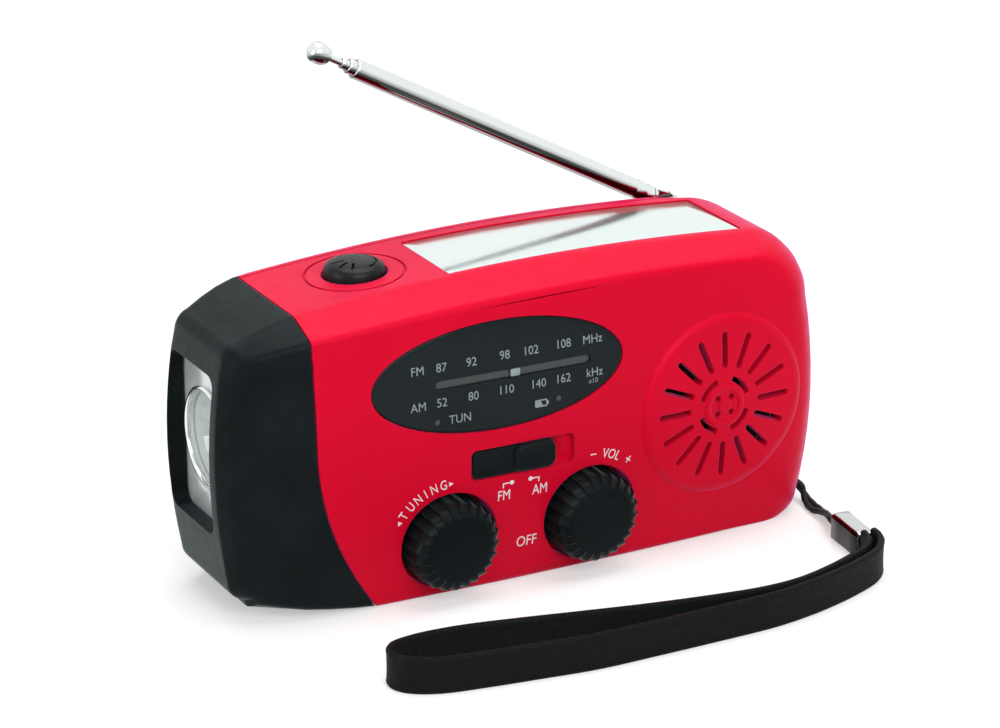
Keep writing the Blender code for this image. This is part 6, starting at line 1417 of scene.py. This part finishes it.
def make_print():
    for i, (text, x, z) in enumerate(DIAL_WORDS):
        place = (x * MM, z * MM)
        letters(f"dial_word_{i}", text, DIAL_WORD_SIZE, place, PRINT_GREY, THIN_LIFT, 0, DIAL_WORD_SQUEEZE)
    letters("dial_times_ten", "x10", TIMES_TEN_SIZE, TIMES_TEN_PLACE, PRINT_GREY, THIN_LIFT)
    for i, place in enumerate(LAMPS):
        mark(f"dial_lamp_{i}", centred(place, ellipse(LAMP_RADIUS, LAMP_RADIUS, 24)), LAMP, THIN_LIFT)
    frame_line(
        "battery_frame", rounded_box(*BATTERY, 2.6 * MM, 1.45 * MM, 0.3 * MM, 5),
        rounded_box(*BATTERY, 2.1 * MM, 0.95 * MM, 0.15 * MM, 5), PRINT_GREY,
    )
    for name, outline in (("battery_level", BATTERY_LEVEL), ("battery_nub", BATTERY_NUB)):
        mark(name, [(x * MM, z * MM) for x, z in outline], PRINT_GREY, THIN_LIFT)
    for name, word, centre, radius in (
        ("tuning", TUNING_WORD, TUNING, TUNING_WORD_RADIUS),
        ("volume", VOLUME_WORD, VOLUME, VOLUME_WORD_RADIUS),
    ):
        for i, (text, angle_deg) in enumerate(word):
            ring_letter(f"{name}_letter_{i}", text, centre, radius, angle_deg, RING_LETTER_SIZE)
    for name, text, angle_deg, size in VOLUME_SIGNS:
        ring_letter(name, text, VOLUME, VOLUME_SIGN_RADIUS, angle_deg, size * MM)
    for name, text, size, x, z, squeeze in FACE_WORDS:
        letters(name, text, size * MM, (x * MM, z * MM), PRINT_WHITE, PRINT_LIFT, 0, squeeze)
    for name, angle_deg, pointing in (("left", 152.7, 1), ("right", 90.3, -1)):
        angle = math.radians(angle_deg)
        centre = spun(TUNING, TUNING_WORD_RADIUS, 0, angle)
        outline = [
            spun(centre, across * ARROW_HALF, along * pointing * ARROW_HALF, angle)
            for across, along in ((0, 1), (1, -1), (-1, -1))
        ]
        mark(f"tuning_arrow_{name}", outline, PRINT_WHITE)
    half = LINE_HALF
    z = BAND_LINE_Z
    foot = BAND_LINE_FOOT_Z
    for name, x, corner in BAND_LINES:
        end = corner + (half if corner > x else -half)
        mark(f"{name}_dot", centred((x, z), ellipse(DOT_RADIUS, DOT_RADIUS, 20)), PRINT_WHITE)
        line = [(x, z - half), (end, z - half), (end, z + half), (x, z + half)]
        mark(f"{name}_line", line, PRINT_WHITE, LINE_LIFT)
        leg = [(corner - half, foot), (corner + half, foot), (corner + half, z), (corner - half, z)]
        mark(f"{name}_foot", leg, PRINT_WHITE, FOOT_LIFT)


def ring_letter(name, text, centre, radius, angle_deg, size):
    spot = spun(centre, radius, 0, math.radians(angle_deg))
    letters(name, text, size, spot, PRINT_WHITE, PRINT_LIFT, angle_deg - 90, RING_LETTER_SQUEEZE)


def frame_line(name, outer, inner, finish):
    rings = []
    lift = THIN_LIFT
    for outline, offset in ((outer, lift), (outer, -lift), (inner, -lift), (inner, lift), (outer, lift)):
        rings.append([Vector((x, front_y(x, z) + offset, z)) for x, z in outline])
    return put(closed_loft(name, rings, finish, 35), "case", "white_plastic")


# Knobs and band switch


def ridged_rings(centre, face, back):
    """Rings of a knob with curved saw-tooth ridges round its rim, from the back to the flat face."""
    rings = []
    samples = len(KNOB_TOOTH)
    count = KNOB_RIDGES * samples
    rows = [(1.0, 1.0, (back - face) / KNOB_ROUNDING)] + list(KNOB_PROFILE)
    for share, ridge_share, depth in rows:
        ring = []
        for i in range(count):
            step = i % samples
            tooth = KNOB_TOOTH[step]
            reach = KNOB_RADIUS * share - KNOB_RIDGE * ridge_share * (1 - tooth)
            late = 0.9 if step == samples - 1 else 0.0
            angle = math.tau * (i - late) / count + math.radians(KNOB_SWIRL_DEG) * (1 - share) / 0.3
            x = centre[0] + reach * math.cos(angle)
            z = centre[1] + reach * math.sin(angle)
            ring.append(Vector((x, face + KNOB_ROUNDING * depth, z)))
        rings.append(ring)
    return rings


def make_knob(name, body, centre, node):
    face = front_y(*centre) - KNOB_PROUD
    back = WELL_FLOOR_Y - SEAM_GAP
    rings = ridged_rings(centre, face, back)
    rings.append([
        Vector(((centre[0] + place.x) / 2, face + KNOB_DISH * 0.6, (centre[1] + place.z) / 2))
        for place in rings[-1]
    ])
    rings.append(Vector((centre[0], face + KNOB_DISH, centre[1])))
    knob = lofted(name, [Vector((centre[0], back, centre[1]))] + rings, KNOB_BLACK, 38)
    bore = cylinder(name + "_bore", SHAFT_BORE, centre, "Y", KNOB_BORE_Y, back + OVERRUN, None, 32)
    cut(knob, bore)
    return put(knob, body, "black_shell", node)


def make_band_slider():
    middle_x = BAND_LEFT_X + BAND_LENGTH / 2
    face = front_y(middle_x, BAND_Z)
    left = BAND_LEFT_X + SEAM_GAP
    height = BAND_HEIGHT - 2 * SEAM_GAP
    floor = face + BAND_RECESS - SEAM_GAP
    outline = rounded_box(left + SLIDER_LENGTH / 2, BAND_Z, SLIDER_LENGTH, height, BAND_CORNER, 7)
    slider = bevelled(prism("band_plate", outline, "Y", face + 0.1 * MM, floor, KNOB_BLACK), 0.2 * MM, 3)
    put(slider, "band", "black_shell", "band_slider")
    pad_x = left + SLIDER_LENGTH - PAD_LENGTH / 2
    rings = []
    for share, depth in PAD_ROWS:
        width = PAD_LENGTH - (1 - share) * height * 1.1
        tall = height * share
        radius = max(0.3 * MM, (BAND_CORNER + 0.5 * MM) * share)
        pad = rounded_box(pad_x, BAND_Z, width, tall, min(radius, tall / 2 - 0.05 * MM), 7)
        rings.append([Vector((x, face + depth * MM, z)) for x, z in pad])
    put(lofted("band_pad", rings, KNOB_BLACK, 50), "band", "black_shell")
    stem = rounded_box(middle_x - STEM_OFFSET, BAND_Z, STEM_WIDTH, STEM_WIDTH, 0.3 * MM, 3)
    peg = prism("band_peg", stem, "Y", floor + 0.02 * MM, face + STEM_DEPTH, KNOB_BLACK)
    put(peg, "band", "black_shell")


# Antenna
def antenna_turn():
    turn = Matrix.Rotation(math.radians(180 + ANTENNA_TILT_DEG), 4, "Y")
    return Matrix.Translation(ANTENNA) @ turn


def tube(name, body, radius, inner, start, stop, node, crimps):
    """A drawn tube, in mm, with a rolled lip at its open end and crimp marks where it holds its plug."""
    rows = [(inner, start), (radius, start)]
    for place in crimps:
        rows += [(radius - depth, place + gone) for gone, depth in CRIMP_ROWS]
    rows += [(radius - depth, stop - gone) for gone, depth in LIP_ROWS] + [(inner, stop)]
    made = turned(name, rows_at(0, *rows), (0, 0), "X", CHROME, 64, 50)
    made.data.transform(antenna_turn())
    put(made, body, "chrome", node)


def make_antenna():
    for row in ANTENNA_TUBES:
        tube(*row)
    rows = [(0, ROD_START), (ROD_RADIUS, ROD_START)]
    rows += [(radius, TIP_PLACE + TIP_RADIUS * share) for radius, share in TIP_ROWS]
    rod = turned("tip_rod", rows_at(0, *rows), (0, 0), "X", CHROME, 48, 50)
    rod.data.transform(antenna_turn())
    put(rod, "antenna_tip", "chrome", "antenna_rod")


# Crank and back
def make_crank():
    x, z = CRANK
    stop = ARM_FRONT_Y + ARM_THICKNESS
    outline = arc(x - LEVER_REACH + LEVER_HALF, z, LEVER_HALF, 90, 270, 24)
    outline += arc(x, z, LEVER_HUB_RADIUS, -70, 70, 20)
    arm = prism("crank_lever", outline, "Y", ARM_FRONT_Y, stop, BLACK)
    pivot_x = x - GRIP_PIVOT_REACH
    left = pivot_x - GRIP_GAP
    right = pivot_x + LEVER_WINDOW_REACH
    window = rounded_box((left + right) / 2, z, right - left, LEVER_WINDOW_HEIGHT, 0.8 * MM, 5)
    channel = rounded_box(x - 12 * MM, z, 12 * MM, 5.4 * MM, 1.6 * MM, 7)
    cut(
        arm,
        prism("lever_window", window, "Y", ARM_FRONT_Y - OVERRUN, stop + OVERRUN),
        prism("lever_channel", channel, "Y", stop - LEVER_CHANNEL_DEPTH, stop + OVERRUN),
        cylinder("lever_bore", SHAFT_BORE, CRANK, "Y", 0, stop - 0.2 * MM),
        cylinder("lever_pin_hole", PIN_RADIUS, (pivot_x, GRIP_Y), "Z", z - PIN_HALF, z + PIN_HALF),
    )
    put(bevelled(arm, 0.45 * MM, 3), "crank", "black_shell", "crank_arm")
    start = rear_y(*CRANK) + 0.6 * MM
    end = ARM_FRONT_Y - 0.02 * MM
    rows = [(SHAFT_BORE, start), (CRANK_HUB_RADIUS, start), (CRANK_HUB_RADIUS, end), (SHAFT_BORE, end)]
    put(turned("crank_hub", rows, CRANK, "Y", BLACK, 64), "crank", "black_shell")
    put(turned("crank_cap", rows_at(stop, *CAP_ROWS), CRANK, "Y", STEEL, 48), "crank", "steel")
    start = pivot_x + GRIP_GAP
    end = start + GRIP_LENGTH
    rows = rows_at(start, *GRIP_END_ROWS)
    for i in range(GRIP_GROOVES):
        rows += rows_at(start + GRIP_GROOVE_START + i * GRIP_GROOVE_PITCH, *GROOVE_ROWS)
    rows += rows_at(end, *[(radius, -gone) for radius, gone in reversed(GRIP_END_ROWS)])
    grip = turned("grip_sleeve", rows, (GRIP_Y, z), "X", KNOB_BLACK, 64, 40)
    put(grip, "grip", "black_shell", "crank_grip")


def make_screws():
    for name, x, z in SCREWS:
        head = rear_y(x, z) - SCREW_SINK
        seat = head - SCREW_HEAD
        rows = rows_at(seat - SCREW_SHANK, *SCREW_TIP_ROWS) + rows_at(seat, (1.2, 0), (2.4, 0))
        rows += rows_at(head, *SCREW_HEAD_ROWS)
        screw = turned(f"screw_{name}", rows, (x, z), "Y", STEEL, 48, 40)
        cross = [
            spun((x, z), u * MM, v * MM, math.tau * i / 4) for i in range(4) for u, v in CROSS_ARM
        ]
        cut(screw, prism(f"cross_{name}", cross, "Y", head - CROSS_DEPTH, head + OVERRUN))
        put(screw, "case", "steel", f"cover_screw_{name}")


def make_flap():
    x, z = SOCKET
    seat = rear_y(x + FLAP_HALF_LENGTH, z) - FLAP_SINK + SEAM_GAP
    low = z - FLAP_HALF_HEIGHT
    high = z + FLAP_HALF_HEIGHT
    tall = high - low - 2 * SEAM_GAP
    outline = rounded_box(x, z + SEAM_GAP, 2 * FLAP_HALF_LENGTH, tall, 0.9 * MM, 6)
    cover = prism("socket_cover", outline, "Y", seat, seat + FLAP_THICKNESS, RUBBER)
    put(bevelled(cover, 0.2 * MM, 3), "flap", "black_rubber", "socket_flap")
    axis = (seat + FLAP_PIN_RADIUS, low + FLAP_PIN_RADIUS)
    ends = (x - FLAP_HALF_LENGTH, x + FLAP_HALF_LENGTH)
    put(cylinder("cover_hinge", FLAP_PIN_RADIUS, axis, "X", *ends, RUBBER, 24), "flap", "black_rubber")
    outline = rounded_box(x, high - 1.7 * MM, 4.2 * MM, 1.0 * MM, 0.45 * MM, 5)
    tab = prism("cover_tab", outline, "Y", seat + 0.85 * MM, seat + 1.25 * MM, RUBBER)
    put(bevelled(tab, 0.12 * MM, 2), "flap", "black_rubber")


# Stage
def stage_floor():
    """A plain pale floor that keeps the shadow and reads as white to the camera away from it."""
    bm = bmesh.new()
    bmesh.ops.create_grid(bm, x_segments=1, y_segments=1, size=FLOOR_HALF)
    floor = to_piece(bm, "floor", None)
    floor.location = (0, 0, -0.02 * MM)
    made = bpy.data.materials.new("floor_white")
    made.use_nodes = True
    tree = made.node_tree
    shader = tree.nodes["Principled BSDF"]
    tone = (FLOOR_TONE, FLOOR_TONE, FLOOR_TONE, 1)
    looks = {"Base Color": tone, "Roughness": 0.85, "Specular IOR Level": 0.1, "Emission Color": (1, 1, 1, 1)}
    for name, value in looks.items():
        shader.inputs[name].default_value = value
    lift = add_node(tree, "Math", {1: FLOOR_LIFT}, operation="MULTIPLY")
    tree.links.new(seen_rays(tree), lift.inputs[0])
    tree.links.new(lift.outputs[0], shader.inputs["Emission Strength"])
    floor.data.materials.append(made)


def seen_rays(tree):
    """One where the background is seen directly, in a mirror or through glass, and zero elsewhere."""
    path = add_node(tree, "LightPath")
    value = path.outputs["Is Camera Ray"]
    for name in ("Is Glossy Ray", "Is Transmission Ray"):
        either = add_node(tree, "Math", operation="MAXIMUM")
        tree.links.new(value, either.inputs[0])
        tree.links.new(path.outputs[name], either.inputs[1])
        value = either.outputs[0]
    return value


def white_world():
    world = bpy.data.worlds.new("studio")
    world.use_nodes = True
    tree = world.node_tree
    for node in list(tree.nodes):
        tree.nodes.remove(node)
    out = add_node(tree, "OutputWorld")
    mix = add_node(tree, "MixShader")
    light = add_node(tree, "Background", {"Color": (1, 1, 1, 1), "Strength": WORLD_LIGHT})
    seen = add_node(tree, "Background", {"Color": (1, 1, 1, 1), "Strength": 1.0})
    tree.links.new(seen_rays(tree), mix.inputs[0])
    tree.links.new(light.outputs[0], mix.inputs[1])
    tree.links.new(seen.outputs[0], mix.inputs[2])
    tree.links.new(mix.outputs[0], out.inputs["Surface"])
    bpy.context.scene.world = world


def area_light(name, place, aim, size, power, height=None):
    data = bpy.data.lights.new(name, "AREA")
    data.shape = "RECTANGLE"
    data.size = size
    data.size_y = height or size
    data.energy = power
    lamp = show(name, data)
    lamp.location = place
    lamp.rotation_euler = (Vector(aim) - Vector(place)).to_track_quat("-Z", "Y").to_euler()


def make_stage():
    stage_floor()
    white_world()
    for name, place, size, power, height in LIGHTS:
        area_light(name, place, (0, 0, 0.03), size, power, height)
    bpy.context.scene.view_settings.view_transform = "Standard"


add_camera()
make_strap()
form = case_form("whole_form", 0, 3, FINE_STEPS, FINE_SHARES, CREASE)
form_data = form.data
bpy.data.objects.remove(form)
space = make_space()
space_data = space.data
bpy.data.objects.remove(space)
make_front(space_data, form_data)
make_rear(space_data, form_data)
make_head(space_data, form_data)
make_torch()
make_button()
make_panel()
make_dial()
make_print()
make_knob("tuning_wheel", "tuning", TUNING, "tuning_knob")
make_knob("volume_wheel", "volume", VOLUME, "volume_knob")
make_band_slider()
make_antenna()
make_crank()
make_screws()
make_flap()
dress_nodes()
make_stage()
